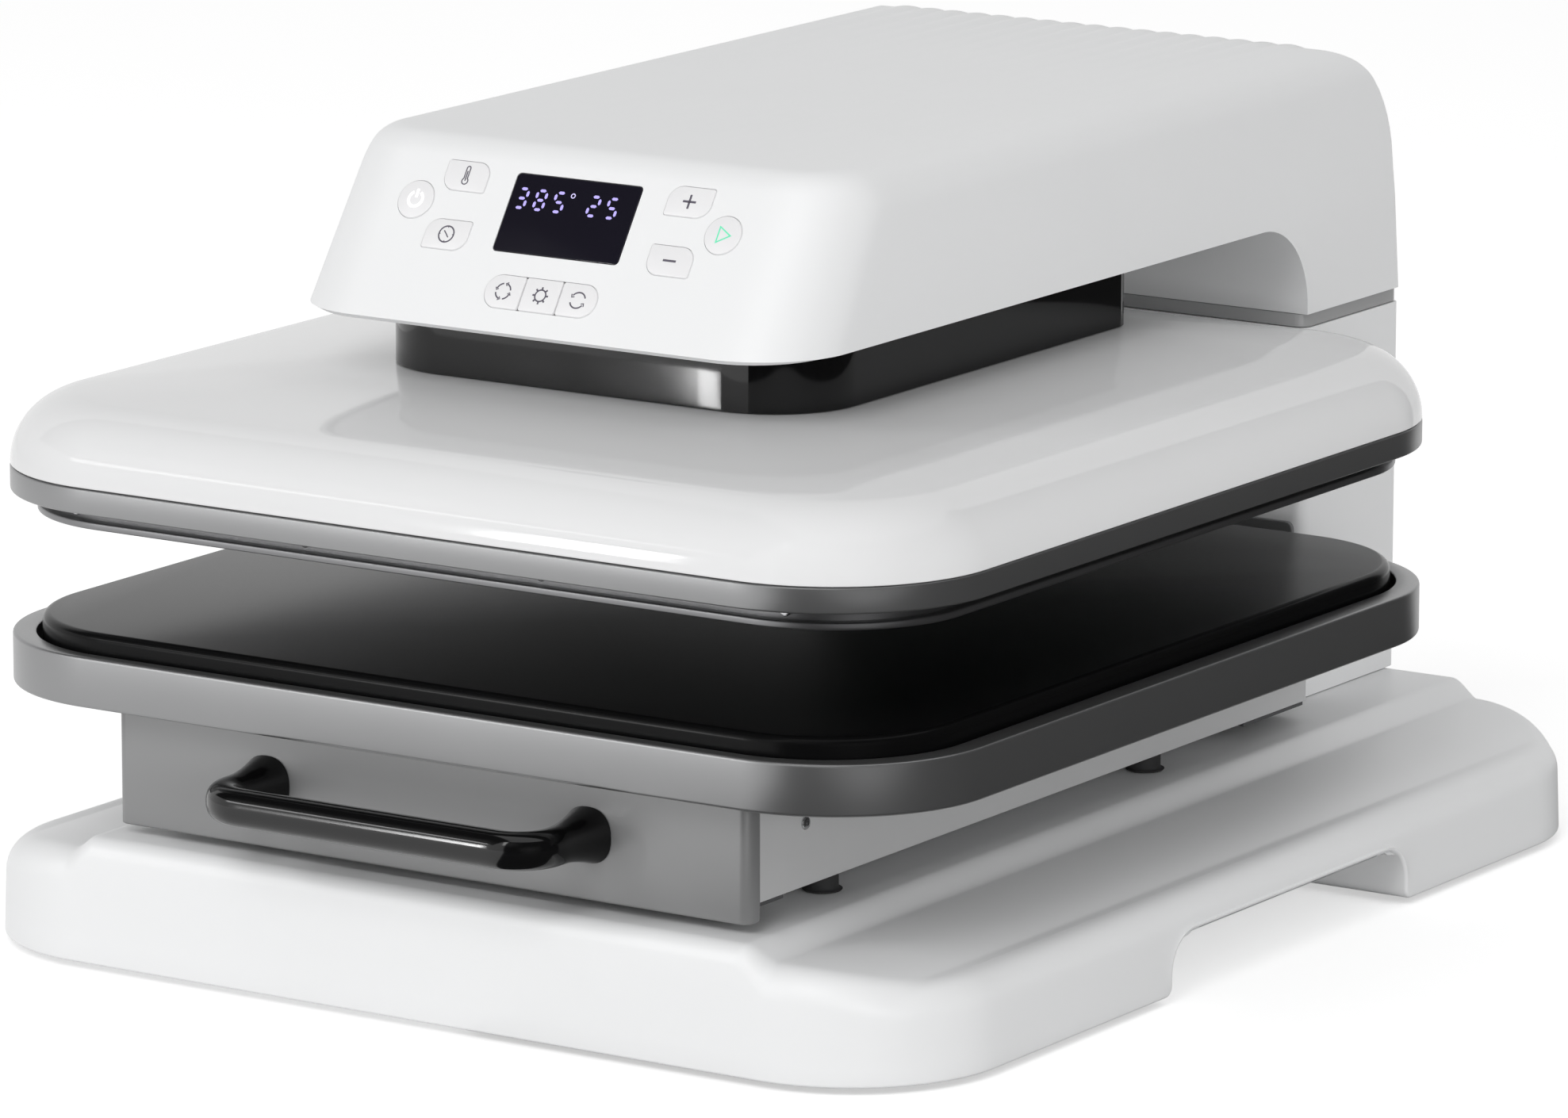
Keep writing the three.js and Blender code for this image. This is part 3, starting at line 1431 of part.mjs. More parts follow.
const press = new THREE.Group();
const model = new THREE.Group();
press.add(model);

const feet = [-1, 1].flatMap((side) => [-1, 1].map((row) => piece(
  `foot_${row < 0 ? 'front' : 'rear'}_${side < 0 ? 'left' : 'right'}`, makeFoot(side, row), 'blackRubber')));
const mounts = [-1, 1].flatMap((side) => [mountFrontY, mountRearY].map((y) => piece(
  `chassis_mount_${y < 0 ? 'front' : 'rear'}_${side < 0 ? 'left' : 'right'}`, makeMount(side, y),
  'blackRubber')));

model.add(
  piece('base_shell', makeBaseShell(), 'whiteShell'),
  piece('base_plate', makeBasePlate(), 'sheetSteel'),
  ...feet,
  piece('column_shell', makeColumnShell(), 'whiteShell'),
  piece('column_front_panel', makeFrontPanel(), 'darkPlate'),
  piece('trim_band', makeTrimBand(), 'greyTrim'),
  ...bothSides('post', makePost, 'sheetSteel'),
  piece('head_shell', makeHeadShell(), 'whiteShell'),
  piece('head_floor', makeHeadFloor(), 'whiteShell'),
  piece('head_frame', makeHeadFrame(), 'sheetSteel'),
  piece('neck_liner', makeNeckLiner(), 'motorBlack'),
  piece('drive_motor', makeMotor(), 'motorBlack'),
  ...bothSides('guide_bush', makeGuideBush, 'bronze'),
  piece('mains_inlet', makeInlet(), 'motorBlack'),
  piece('slide_chassis', makeChassis(), 'sheetSteel'),
  ...mounts,
  piece('chassis_strap_front', makeStrap(chassisFrontY, strapFrontDepth), 'darkPlate'),
  piece('chassis_strap_rear', makeStrap(chassisRearY - strapRearDepth, strapRearDepth), 'darkPlate'),
  ...bothSides('rail_outer', makeOuterRail, 'machinedSteel'),
);

model.add(
  piece('heating_platen', makePlaten(), 'castAluminium'),
  piece('platen_band', makePlatenBand(), 'darkPlate'),
  piece('platen_cover', makePlatenCover(), 'whiteShell'),
  piece('neck_skirt', makeNeckSkirt(), 'blackGloss'),
  piece('carriage_plate', makeCarriagePlate(), 'sheetSteel'),
  piece('heating_element', makeHeater(), 'machinedSteel'),
  piece('insulation_board', makeInsulation(), 'boardMineral'),
  piece('screw_nut', makeNut(), 'bronze'),
  ...bothSides('guide_rod', makeGuideRod, 'machinedSteel'),
  piece('leadscrew', makeLeadscrew(), 'machinedSteel'),
);

model.add(
  piece('drawer_tray', makeTray(), 'darkPlate'),
  piece('press_pad', makePad(), 'padBlack'),
  piece('drawer_carriage', makeCarriage(), 'sheetSteel'),
  piece('drawer_front', makeDrawerFront(), 'panelGrey'),
  piece('drawer_handle', makeHandle(), 'blackGloss'),
  ...bothSides('rail_inner', makeInnerRail, 'machinedSteel'),
  ...bothSides('rail_middle', makeMiddleRail, 'machinedSteel'),
);

const panel = new THREE.Group();
panel.position.set(0, headFrontY, headBottom);
panel.rotation.set(Math.PI / 2 - panelTilt, 0, 0);
panel.add(piece('display_lens', makeDisplayLens(), 'displayGlass'));
panel.add(piece('control_board', makeControlBoard(), 'boardGreen'));
for (const [name, outline] of Object.entries(keys)) {
  const make = /cycle|settings|auto/.test(name) ? makeRowKey : makeKey;
  panel.add(piece(name, make(outline), 'keyWhite'));
}
model.add(panel);

const rocker = piece('mains_rocker', makeRocker(), 'blackGloss');
rocker.position.set(0, rockerPivotY, rockerPivotZ);
rocker.rotation.set(rockerTilt, 0, 0);
model.add(rocker);

// The finished part stands with its feet on Z = 0 and the middle of its footprint at X = Y = 0
const overallFront = frontPlaneY - handleReach - handleHalfThickness;
const footBottom = basePlateRise - seatGap - footHeight;
model.position.set(0, -(overallFront + rockerTipY) / 2, -footBottom);

export default press;
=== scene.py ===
"""Looks of the automatic heat press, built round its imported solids.

Every size is in metres. The frame's X is to the right, Y to the back and Z up. The functions below
work in the fit frame: the middle of the heating platen is X = Y = 0 and the base's lower edge Z = 0.
"""

import json
import math
from dataclasses import dataclass
from functools import lru_cache, partial

import bmesh
import bpy
import numpy as np
from bpy.props import FloatProperty, FloatVectorProperty, IntProperty, PointerProperty
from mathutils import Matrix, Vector
from mathutils.geometry import delaunay_2d_cdt

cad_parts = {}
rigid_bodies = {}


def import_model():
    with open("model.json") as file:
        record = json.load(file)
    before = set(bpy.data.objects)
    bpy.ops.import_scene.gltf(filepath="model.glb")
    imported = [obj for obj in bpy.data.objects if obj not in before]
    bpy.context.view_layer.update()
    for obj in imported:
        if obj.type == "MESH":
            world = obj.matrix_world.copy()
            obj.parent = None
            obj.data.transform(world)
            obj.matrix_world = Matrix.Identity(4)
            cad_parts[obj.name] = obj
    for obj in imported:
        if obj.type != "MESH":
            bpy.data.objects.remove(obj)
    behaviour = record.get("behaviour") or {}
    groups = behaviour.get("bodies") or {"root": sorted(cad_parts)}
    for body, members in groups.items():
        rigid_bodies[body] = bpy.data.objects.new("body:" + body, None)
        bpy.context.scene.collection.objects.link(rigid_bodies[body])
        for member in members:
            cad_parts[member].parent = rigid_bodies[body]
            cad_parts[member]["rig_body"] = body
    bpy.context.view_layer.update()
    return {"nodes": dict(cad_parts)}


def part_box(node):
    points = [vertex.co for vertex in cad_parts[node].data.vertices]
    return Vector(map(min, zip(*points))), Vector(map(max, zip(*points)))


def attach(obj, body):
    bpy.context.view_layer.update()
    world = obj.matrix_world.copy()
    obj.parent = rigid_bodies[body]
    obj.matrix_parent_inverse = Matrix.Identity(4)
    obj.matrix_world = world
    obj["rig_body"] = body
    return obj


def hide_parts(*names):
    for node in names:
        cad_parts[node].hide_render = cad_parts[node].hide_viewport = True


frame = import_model()

bl_info = {
    "name": "Automatic Heat Press",
    "version": (1, 0, 0),
    "blender": (4, 5, 0),
    "location": "3D View > Sidebar > Heat Press",
    "description": "Builds the shells, plates, keys and finishes of a heat press round its solids",
    "category": "Object",
}

MM = 0.001
PLATEN_LOW, PLATEN_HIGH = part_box("heating_platen")
FIT_SHIFT = np.array([0, (PLATEN_LOW.y + PLATEN_HIGH.y) / 2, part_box("base_shell")[0].z])
QUARTER = math.pi / 2
FULL_TURN = 2 * math.pi
KEY_NAMES = ("power", "start", "temperature", "time", "plus", "minus", "cycle", "settings", "auto")

# Small fixed sizes
BASE_NARROWER = 0.2 * MM  # on each side, for a wall inside the CAD box
BAND_EDGE = 0.8 * MM
BAND_OVERLAP = 3.5 * MM
BOSS_RADIUS = 9 * MM
BOSS_PLACE = 62 * MM
LEAF_POINT, LEAF_BULGE = 0.9 * MM, 5.4 * MM
ROW_HALF_WIDTH, ROW_HALF_HEIGHT, ROW_END = 23.6 * MM, 6.3 * MM, 6.1 * MM
END_KEY_HALF_WIDTH, MIDDLE_KEY_HALF_WIDTH = 7.75 * MM, 7.6 * MM
THROAT_END = 1.48  # radians, just short of upright
KEY_FOOT, KEY_FLANGE_TOP = -5.5 * MM, -3.5 * MM
LENS_CORNER = 1.6 * MM
DIGIT_PLACES = (-23.7 * MM, -15.8 * MM, -7.9 * MM, 6.9 * MM, 14.7 * MM)
PLATEN_SCREWS_ACROSS = (-150 * MM, -50 * MM, 50 * MM, 150 * MM)
PLATEN_SCREWS_ALONG = (-100 * MM, 0, 100 * MM)
CHASSIS_SCREWS_ALONG = (-142 * MM, 30 * MM, 166 * MM)
CHASSIS_SCREW_HEIGHT = 76 * MM

# The photograph's camera in the fit frame, and the lamps round the aim point
CAMERA_PLACE = (1.88238, -2.82698, 0.86038)
CAMERA_AZIMUTH, CAMERA_ELEVATION = math.radians(33.6582), math.radians(11.6841)
CAMERA_SHIFT = (0.03815, -0.05155)
SENSOR_WIDTH = 36
LAMP_AIM = Vector((0, 0, 0.14))
LAMPS = (  # name, direction, distance, width and height, level
    ("front lamp", (-0.54, -0.70, 0.47), 3.2, (1.0, 1.0), "front_level"),
    ("strip lamp", (-0.499, -0.862, 0.087), 3.0, (0.1, 0.55), "strip_level"),
    ("low lamp", (0.78, -0.61, 0.13), 3.0, (1.4, 0.7), "low_level"),
    ("high lamp", (0.16, -0.75, 0.64), 4.5, (1.8, 1.8), "high_level"),
    ("side lamp", (0.82, 0.07, 0.57), 3.0, (1.6, 1.6), "side_level"),
)
FENCE_PROFILE = np.array([(0.05, 0.001), (0.9, 0.001), (0.96, 0.01), (0.97, 0.06), (0.97, 1.2)])
FENCE_START, FENCE_END = 6, 160  # degrees from the front, to the right
HIGH_FLAG_CORNERS = ((-0.504, -1.629, 0.706), (-1.662, -0.251, 0.706), (0.146, -1.083, 1.554))
FLOOR_REACH = 30


@lru_cache(maxsize=None)
def span(node, axis):
    """Lowest and highest place of a node along one axis, in the fit frame."""
    low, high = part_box(node)
    return low[axis] - FIT_SHIFT[axis], high[axis] - FIT_SHIFT[axis]


def length(name, description, millimetres):
    return FloatProperty(
        name=name, description=description, default=millimetres * MM, precision=4, unit="LENGTH"
    )


def share(name, description, value):
    return FloatProperty(
        name=name, description=description, default=value, min=0, max=1, subtype="FACTOR"
    )


def tint(name, description, value):
    return FloatVectorProperty(
        name=name, description=description, default=value, size=3, min=0, max=1, subtype="COLOR"
    )


class HeatPressShellSizes(bpy.types.PropertyGroup):
    """Sizes of the white shells: base, column, housing, neck and cover"""

    base_corner: length("Base corner", "Radius of the base's corners seen from above", 59.4)
    base_lip: length("Base lip", "Rounding of the base's lower edge and of the finger recesses", 1.2)
    plateau: length("Plateau", "Half width of the base's raised middle", 137.8)
    step_width: length("Step width", "Width of the slope beside the raised middle", 12)
    step_drop: length("Step drop", "Height of the slope beside the raised middle", 6)
    wing_fall: length("Wing fall", "How far the base's wings fall towards their edge", 6.2)
    wing_width: length("Wing width", "Width over which the wings fall", 40)
    edge_front: length("Middle edge", "Rounding of the base's upper edge at its middle", 7)
    edge_side: length("Wing edge", "Rounding of the base's upper edge at the wings", 11)
    grip_front: length("Recess front", "Front end of the finger recesses", -24.5)
    grip_rear: length("Recess rear", "Rear end of the finger recesses", 140.5)
    grip_height: length("Recess height", "Height of the finger recesses", 21)
    grip_radius: length("Recess corner", "Radius of the finger recesses' upper corners", 14)
    grip_depth: length("Recess depth", "How far the finger recesses reach inwards", 50)
    housing_corner: length("Housing corner", "Radius of the housing's front corners", 33.8)
    housing_rear_corner: length("Housing rear corner", "Radius of the housing's rear corners", 3.5)
    housing_edge: length("Housing edge", "Rounding round the housing's top", 14)
    housing_back: length("Housing back", "Radius of the housing's round back", 46)
    housing_back_inset: length("Back inset", "Lean of the housing's back", 5)
    housing_draft: length("Housing draft", "How far the housing's sides lean in", 3)
    panel_setback: length("Panel setback", "How far the slanted face runs back", 39.8)
    throat: length("Throat", "Radius where the housing turns down into the column", 33)
    rib_pitch: length("Rib pitch", "Distance between the ribs on the roof", 10.6)
    rib_height: length("Rib height", "Height of the ribs on the roof", 1)
    shell_wall: length("Shell wall", "Thickness of the moulded shells", 3)
    base_wall: length("Base wall", "Thickness of the moulded base", 2.4)
    neck_corner: length("Neck corner", "Radius of the neck's front corners", 34.3)
    neck_rear_corner: length("Neck rear corner", "Radius of the neck's rear corners", 12)
    neck_wall: length("Neck wall", "Thickness of the neck sleeve", 2.5)
    cover_shoulder: length("Cover shoulder", "Radius of the cover's rounded shoulder", 25.5)
    plate_corner: length("Cover corner", "Radius of the cover's corners seen from above", 61.7)


class HeatPressPlateSizes(bpy.types.PropertyGroup):
    """Sizes of the platen, tray, pad, drawer front and handle"""

    platen_corner: length("Platen corner", "Radius of the heating platen's corners", 51)
    platen_lip: length("Platen lip", "Height of the platen's lower lip", 2.7)
    platen_step: length("Platen step", "Step above the platen's lower lip", 4)
    tray_corner: length("Tray corner", "Radius of the lower tray's corners", 59.4)
    tray_bevel: length("Tray bevel", "Rounding of the tray's edges", 1.2)
    tray_skirt: length("Tray skirt", "Thickness of the tray's outer wall", 6.2)
    pad_corner: length("Pad corner", "Radius of the pad's corners", 52.3)
    pad_edge: length("Pad edge", "Rounding of the pad's upper edge", 3)
    pad_groove: length("Pad groove", "Gap between the pad and the tray's rim", 2.2)
    front_edge: length("Drawer front edge", "Rounding of the drawer front's upright edges", 4)
    handle_span: length("Handle span", "Half the distance between the handle's roots", 68.3)
    handle_reach: length("Handle reach", "How far the handle stands out", 34.9)
    handle_bend: length("Handle bend", "Radius of the handle's bends", 14)
    handle_thick: length("Handle thickness", "Half thickness of the handle", 6.5)
    handle_tall: length("Handle height", "Half height of the handle", 6.7)


class HeatPressPanelSizes(bpy.types.PropertyGroup):
    """Sizes of the keys, their marks and the display on the slanted face"""

    seam: length("Key seam", "Gap round each key", 0.25)
    proud: length("Key height", "How far a key stands out of the face", 0.5)
    round_key: length("Round key", "Radius of the power and start keys", 7.3)
    leaf_width: length("Leaf key width", "Half width of a leaf-shaped key", 9.2)
    leaf_height: length("Leaf key height", "Half height of a leaf-shaped key", 5.7)
    stroke: length("Stroke", "Width of the drawn marks", 0.55)
    digit_height: length("Digit height", "Height of the display's figures", 7.3)
    digit_slant: share("Digit slant", "How far the figures lean to the right", 0.0)
    temperature: IntProperty(
        name="Temperature", description="Reading on the left", default=385, min=0, max=999
    )
    seconds: IntProperty(
        name="Seconds", description="Reading on the right", default=25, min=0, max=99
    )


class HeatPressColours(bpy.types.PropertyGroup):
    """Colours of the finishes"""

    shell_white: tint("Shell white", "Satin moulding of base, column and housing", (0.83, 0.835, 0.84))
    cover_white: tint("Cover white", "Glossy moulding of the cover", (0.75, 0.752, 0.756))
    trim_grey: tint("Trim grey", "Strip between column and housing", (0.52, 0.522, 0.525))
    plate_dark: tint("Plate dark", "Coated tray and band", (0.26, 0.261, 0.264))
    front_grey: tint("Front grey", "Painted drawer front", (0.24, 0.241, 0.243))
    chassis_grey: tint("Chassis grey", "Painted sheet of the chassis", (0.68, 0.682, 0.686))
    gloss_black: tint("Gloss black", "Neck and handle", (0.003, 0.003, 0.0032))
    pad_black: tint("Pad black", "Silicone pad", (0.004, 0.004, 0.0042))
    rubber_black: tint("Rubber black", "Feet and mounts", (0.03, 0.03, 0.031))
    key_white: tint("Key white", "Caps of the keys", (0.8, 0.797, 0.805))
    mark_grey: tint("Mark grey", "Marks on the keys", (0.1, 0.09, 0.12))
    figure_violet: tint("Figure violet", "Lit figures of the display", (0.36, 0.31, 0.72))
    start_green: tint("Start green", "Lit mark of the start key", (0.12, 0.66, 0.4))


class HeatPressStudio(bpy.types.PropertyGroup):
    """Camera, lamps and backdrop"""

    front_level: share("Front level", "Light of the front lamp, as a share of white", 0.18)
    strip_level: share("Strip level", "Light of the narrow front lamp, as a share of white", 0.08)
    high_level: share("High level", "Light of the high lamp, as a share of white", 0.2)
    side_level: share("Side level", "Light of the lamp to the right, as a share of white", 0.08)
    low_level: share("Low level", "Light of the low lamp at the right corner, as a share of white", 0.22)
    ambient: share("Ambient", "Light from all round, as a share of white", 0.47)
    floor_lift: share("Floor lift", "White that the camera sees added to the floor", 0.5)
    flag_grey: share("Flag grey", "Shade of the dark flags that only gloss mirrors", 0.05)
    lens: FloatProperty(name="Lens", description="Focal length in millimetres", default=220.2)


def settings(name):
    return getattr(bpy.context.scene, "heat_press_" + name)


# Grids and outlines
def rounded_outline(left, right, front, rear, front_radius, rear_radius, turns, across, along):
    """Rounded box, counter-clockwise from the front right corner. A corner point is the corner's
    centre plus its radius times (cos a, sin a), and a run is a blend between the two corner ends.
    across and along are shares from 0 to 1 for the runs; each size may be a column of values."""
    sizes = [np.atleast_1d(np.asarray(v, float)).reshape(-1, 1) for v in
             (left, right, front, rear, front_radius, rear_radius)]
    count = max(len(v) for v in sizes)
    left, right, front, rear, fr, rr = [np.broadcast_to(v, (count, 1)) for v in sizes]
    pieces = []
    for quarter, (cx, cy, radius) in enumerate((
        (right - fr, front + fr, fr),
        (right - rr, rear - rr, rr),
        (left + rr, rear - rr, rr),
        (left + fr, front + fr, fr),
    )):
        angle = (quarter - 1) * QUARTER + (turns if quarter % 2 == 0 else QUARTER - turns[::-1])
        pieces.append(np.stack([cx + radius * np.cos(angle), cy + radius * np.sin(angle)], -1))
    loop = []
    for quarter, corner in enumerate(pieces):
        following = pieces[(quarter + 1) % 4]
        run = (along if quarter % 2 == 0 else across)[1:-1]
        if quarter > 1:
            run = 1 - run[::-1]
        run = run.reshape(1, -1, 1)
        loop += [corner, corner[:, -1:] * (1 - run) + following[:, :1] * run]
    return np.concatenate(loop, 1)


def even(count):
    return np.linspace(0, 1, count + 1)


EVEN_TURNS = np.linspace(0, QUARTER, 25)


class Plan:
    """A rounded plate seen from above, with one radius for its front and one for its rear corners."""

    def __init__(self, half_width, front, rear, radius, rear_radius=None, turns=EVEN_TURNS,
                 across=even(12), along=even(12)):
        self.sides = half_width, front, rear
        self.radii = radius, radius if rear_radius is None else rear_radius
        self.split = turns, across, along

    def rings(self, profile):
        """One ring for each (inset, height) of the profile: the outline drawn in by the inset."""
        inset, height = np.asarray(profile, float).T
        half, front, rear = self.sides
        fr, rr = (np.maximum(radius - inset, 0.4 * MM) for radius in self.radii)
        flat = rounded_outline(-half + inset, half - inset, front + inset, rear - inset, fr, rr,
                               *self.split)
        tall = np.broadcast_to(height[:, None, None], flat.shape[:2] + (1,))
        return np.concatenate([flat, tall], -1)


def arc(x, y, radius, start, end, steps):
    """Points at the centre plus the radius times (cos a, sin a), for a from start to end."""
    angle = np.linspace(start, end, steps + 1)
    return np.stack([x + radius * np.cos(angle), y + radius * np.sin(angle)], -1)


def rounded_rim(low, high, radius, steps=4):
    """Profile of a plate's side as (inset, height), rounded at its lower and its upper edge."""
    return [*arc(radius, low + radius, radius, -QUARTER, -math.pi, steps),
            *arc(radius, high - radius, radius, math.pi, QUARTER, steps)]


def grid(points, wrap=False, flip=False):
    """A patch of four-sided faces over an array of rows of points; wrap closes each row."""
    points = np.asarray(points, float)
    rows, columns = points.shape[:2]
    number = np.arange(rows * columns).reshape(rows, columns)
    here = number if wrap else number[:, :-1]
    beside = np.roll(number, -1, 1) if wrap else number[:, 1:]
    quads = np.stack([here[:-1], beside[:-1], beside[1:], here[1:]], -1).reshape(-1, 4)
    return points.reshape(-1, 3), (quads[:, ::-1] if flip else quads).tolist()


def skin(rings, start=False, end=False, around=False):
    """Closed rings joined one to the next, with flat ends where they are asked for. around joins
    the last ring to the first, as on a band."""
    rings = np.asarray(rings, float)
    if around:
        rings = np.concatenate([rings, rings[:1]])
    vertices, faces = grid(rings, wrap=True)
    count = rings.shape[1]
    if start:
        faces.append(list(range(count))[::-1])
    if end:
        faces.append(list(range(len(vertices) - count, len(vertices))))
    return vertices, faces


def lathe(profile, x, y, sides=48):
    """A profile of (radius, height) turned about an upright line: x + r cos a, y + r sin a."""
    radius, height = np.asarray(profile, float).T
    angle = np.linspace(0, FULL_TURN, sides, endpoint=False)
    rings = np.stack([
        x + radius[:, None] * np.cos(angle),
        y + radius[:, None] * np.sin(angle),
        np.broadcast_to(height[:, None], (len(height), sides)),
    ], -1)
    return skin(rings, start=True, end=True)


def along_path(path, halfs, up, sides, power=1.0):
    """An oval section carried along a path. The section is across times cos a plus tall times
    sin a, each raised to a power below 1 for a squarer oval; across is up crossed with the path."""
    path = np.asarray(path, float)
    way = np.gradient(path, axis=0)
    way /= np.linalg.norm(way, axis=1, keepdims=True)
    across = np.cross(np.broadcast_to(up, way.shape), way)
    across /= np.linalg.norm(across, axis=1, keepdims=True)
    tall = np.cross(way, across)
    angle = np.linspace(0, FULL_TURN, sides, endpoint=False)
    c, s = np.cos(angle), np.sin(angle)
    c, s = np.sign(c) * np.abs(c) ** power, np.sign(s) * np.abs(s) ** power
    halfs = np.broadcast_to(np.asarray(halfs, float), (len(path), 2))
    return (path[:, None] + across[:, None] * (halfs[:, :1] * c)[..., None]
            + tall[:, None] * (halfs[:, 1:] * s)[..., None])


def together(*parts):
    """Several lists of vertices and faces as one."""
    vertices, faces, start = [], [], 0
    for points, quads in parts:
        vertices.append(np.asarray(points, float).reshape(-1, 3))
        faces += [[number + start for number in face] for face in quads]
        start += len(vertices[-1])
    return np.concatenate(vertices), faces


def to_frame(points):
    return np.asarray(points, float) + FIT_SHIFT


def finish_mesh(mesh, crease=35):
    """Smooth shading, with sharp edges at creases and at the open ends of a skin."""
    mesh.shade_smooth()
    mesh.set_sharp_from_angle(angle=math.radians(crease))
    edge_of = np.empty(len(mesh.loops), np.int32)
    mesh.loops.foreach_get("edge_index", edge_of)
    open_end = np.bincount(edge_of, minlength=len(mesh.edges)) == 1
    if open_end.any():
        sharp = np.empty(len(mesh.edges), bool)
        mesh.edges.foreach_get("use_edge_sharp", sharp)
        mesh.edges.foreach_set("use_edge_sharp", sharp | open_end)


def piece(name, shape, body, finish, replaces=(), weld=False, crease=35, wall=0):
    """Makes a mesh object from vertices and faces in the fit frame, and sets what it rides on."""
    vertices, faces = shape
    mesh = bpy.data.meshes.new(name)
    mesh.from_pydata(to_frame(vertices).tolist(), [], faces)
    if weld:
        work = bmesh.new()
        work.from_mesh(mesh)
        bmesh.ops.remove_doubles(work, verts=work.verts, dist=2e-6)
        bmesh.ops.recalc_face_normals(work, faces=work.faces)
        work.to_mesh(mesh)
        work.free()
    mesh.validate()
    obj = bpy.data.objects.new(name, mesh)
    bpy.context.scene.collection.objects.link(obj)
    if wall:
        solid = obj.modifiers.new("Wall", "SOLIDIFY")
        solid.thickness = wall
        solid.offset = -1
        solid.use_even_offset = True
    finish_mesh(mesh, crease)
    mesh.materials.append(material(finish))
    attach(obj, body)
    if replaces:
        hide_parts(*replaces)


def dressed_copy(name, node, finish, bevel=0.0, segments=2):
    """A merged copy of a CAD node's mesh with clean flat faces and rounded edges."""
    source = frame["nodes"][node].data
    work = bmesh.new()
    work.from_mesh(source)
    bmesh.ops.remove_doubles(work, verts=work.verts, dist=2e-6)
    bmesh.ops.dissolve_limit(work, angle_limit=math.radians(0.6), verts=work.verts, edges=work.edges)
    mesh = bpy.data.meshes.new(name)
    work.to_mesh(mesh)
    work.free()
    obj = bpy.data.objects.new(name, mesh)
    bpy.context.scene.collection.objects.link(obj)
    if bevel:
        edges = obj.modifiers.new("Edges", "BEVEL")
        edges.width = bevel
        edges.segments = segments
        edges.limit_method = "ANGLE"
        edges.angle_limit = math.radians(50)
        edges.harden_normals = True
    finish_mesh(mesh)
    mesh.materials.append(material(finish))
    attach(obj, frame["nodes"][node]["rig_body"])
    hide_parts(node)


# Finishes
@dataclass
class Recipe:
    """What a finish is made of: colour, gloss, fine grain in mm, cloudiness and brushing."""

    colour: tuple
    roughness: float
    grain: float = 0.4
    depth: float = 0.02
    mottle: float = 0.03
    spread: float = 0.05
    metallic: float = 0.0
    specular: float = 0.5
    light: float = 0.0
    brushed: tuple = ()
    speckle: tuple = ()


def recipes():
    c = settings("colours")
    return {
        "shell white": Recipe(c.shell_white, 0.42, grain=0.5, depth=0.012, mottle=0.015),
        "cover gloss": Recipe(c.cover_white, 0.06, grain=40, depth=0.02, mottle=0.012, spread=0.015,
                              specular=0.2),
        "trim grey": Recipe(c.trim_grey, 0.16, grain=0.4, depth=0.01, metallic=0.3),
        "plate coat": Recipe(c.plate_dark, 0.34, grain=0.5, depth=0.01, mottle=0.05, metallic=0.85),
        "platen metal": Recipe((0.2, 0.2, 0.205), 0.34, grain=0.3, depth=0.02, metallic=0.9,
                               brushed=(2, 300, 300), mottle=0.1),
        "front paint": Recipe(c.front_grey, 0.36, grain=0.35, depth=0.02, mottle=0.03, metallic=0.3),
        "chassis paint": Recipe(c.chassis_grey, 0.34, grain=0.4, depth=0.02, mottle=0.03,
                                metallic=0.25),
        "gloss black": Recipe(c.gloss_black, 0.12, grain=30, depth=0.01, mottle=0.2, spread=0.02),
        "neck gloss": Recipe(c.gloss_black, 0.06, grain=30, depth=0.01, mottle=0.2, spread=0.02),
        "pad silicone": Recipe(c.pad_black, 0.22, grain=0.7, depth=0.01, mottle=0.25, spread=0.04,
                               specular=0.1),
        "rubber": Recipe(c.rubber_black, 0.75, grain=0.6, depth=0.06, mottle=0.15),
        "dark sheet": Recipe((0.11, 0.112, 0.115), 0.4, grain=0.4, depth=0.02, metallic=0.3),
        "panel dark": Recipe((0.26, 0.262, 0.266), 0.3, grain=0.5, depth=0.015, metallic=0.5),
        "key cap": Recipe(c.key_white, 0.36, grain=0.25, depth=0.008, mottle=0.015),
        "mark": Recipe(c.mark_grey, 0.5, grain=0.2, depth=0.01),
        "mark lit white": Recipe((0.95, 0.95, 0.95), 0.4, grain=0.2, depth=0.005, light=0.35),
        "mark lit green": Recipe(c.start_green, 0.4, grain=0.2, depth=0.005, light=0.25),
        "figure": Recipe(c.figure_violet, 0.4, grain=0.2, depth=0.005, light=0.55),
        "figure dim": Recipe((0.55, 0.5, 0.8), 0.4, grain=0.2, depth=0.005, light=0.45),
        "display glass": Recipe((0.009, 0.008, 0.014), 0.1, grain=25, depth=0.005, spread=0.02,
                                specular=0.45, mottle=0.1),
        "screw steel": Recipe((0.55, 0.55, 0.56), 0.24, grain=0.1, depth=0.01, metallic=1),
        "sheet steel": Recipe((0.42, 0.425, 0.43), 0.36, grain=0.25, depth=0.02, metallic=0.9,
                              brushed=(4, 4, 260), mottle=0.1),
        "machined steel": Recipe((0.58, 0.585, 0.59), 0.22, grain=0.2, depth=0.01, metallic=1,
                                 brushed=(3, 3, 500)),
        "cast aluminium": Recipe((0.4, 0.405, 0.41), 0.42, grain=0.8, depth=0.06, metallic=0.9,
                                 mottle=0.1),
        "bronze": Recipe((0.5, 0.33, 0.13), 0.34, grain=0.3, depth=0.02, metallic=1, mottle=0.12),
        "motor black": Recipe((0.02, 0.021, 0.022), 0.5, grain=0.6, depth=0.04),
        "board green": Recipe((0.015, 0.11, 0.045), 0.4, grain=0.6, depth=0.02,
                              speckle=(2.4, (0.5, 0.42, 0.2))),
        "flag": Recipe((settings("studio").flag_grey,) * 3, 0.9, grain=2, mottle=0.1, specular=0.1),
        "mineral board": Recipe((0.62, 0.58, 0.5), 0.9, grain=1.4, depth=0.2, mottle=0.12),
    }


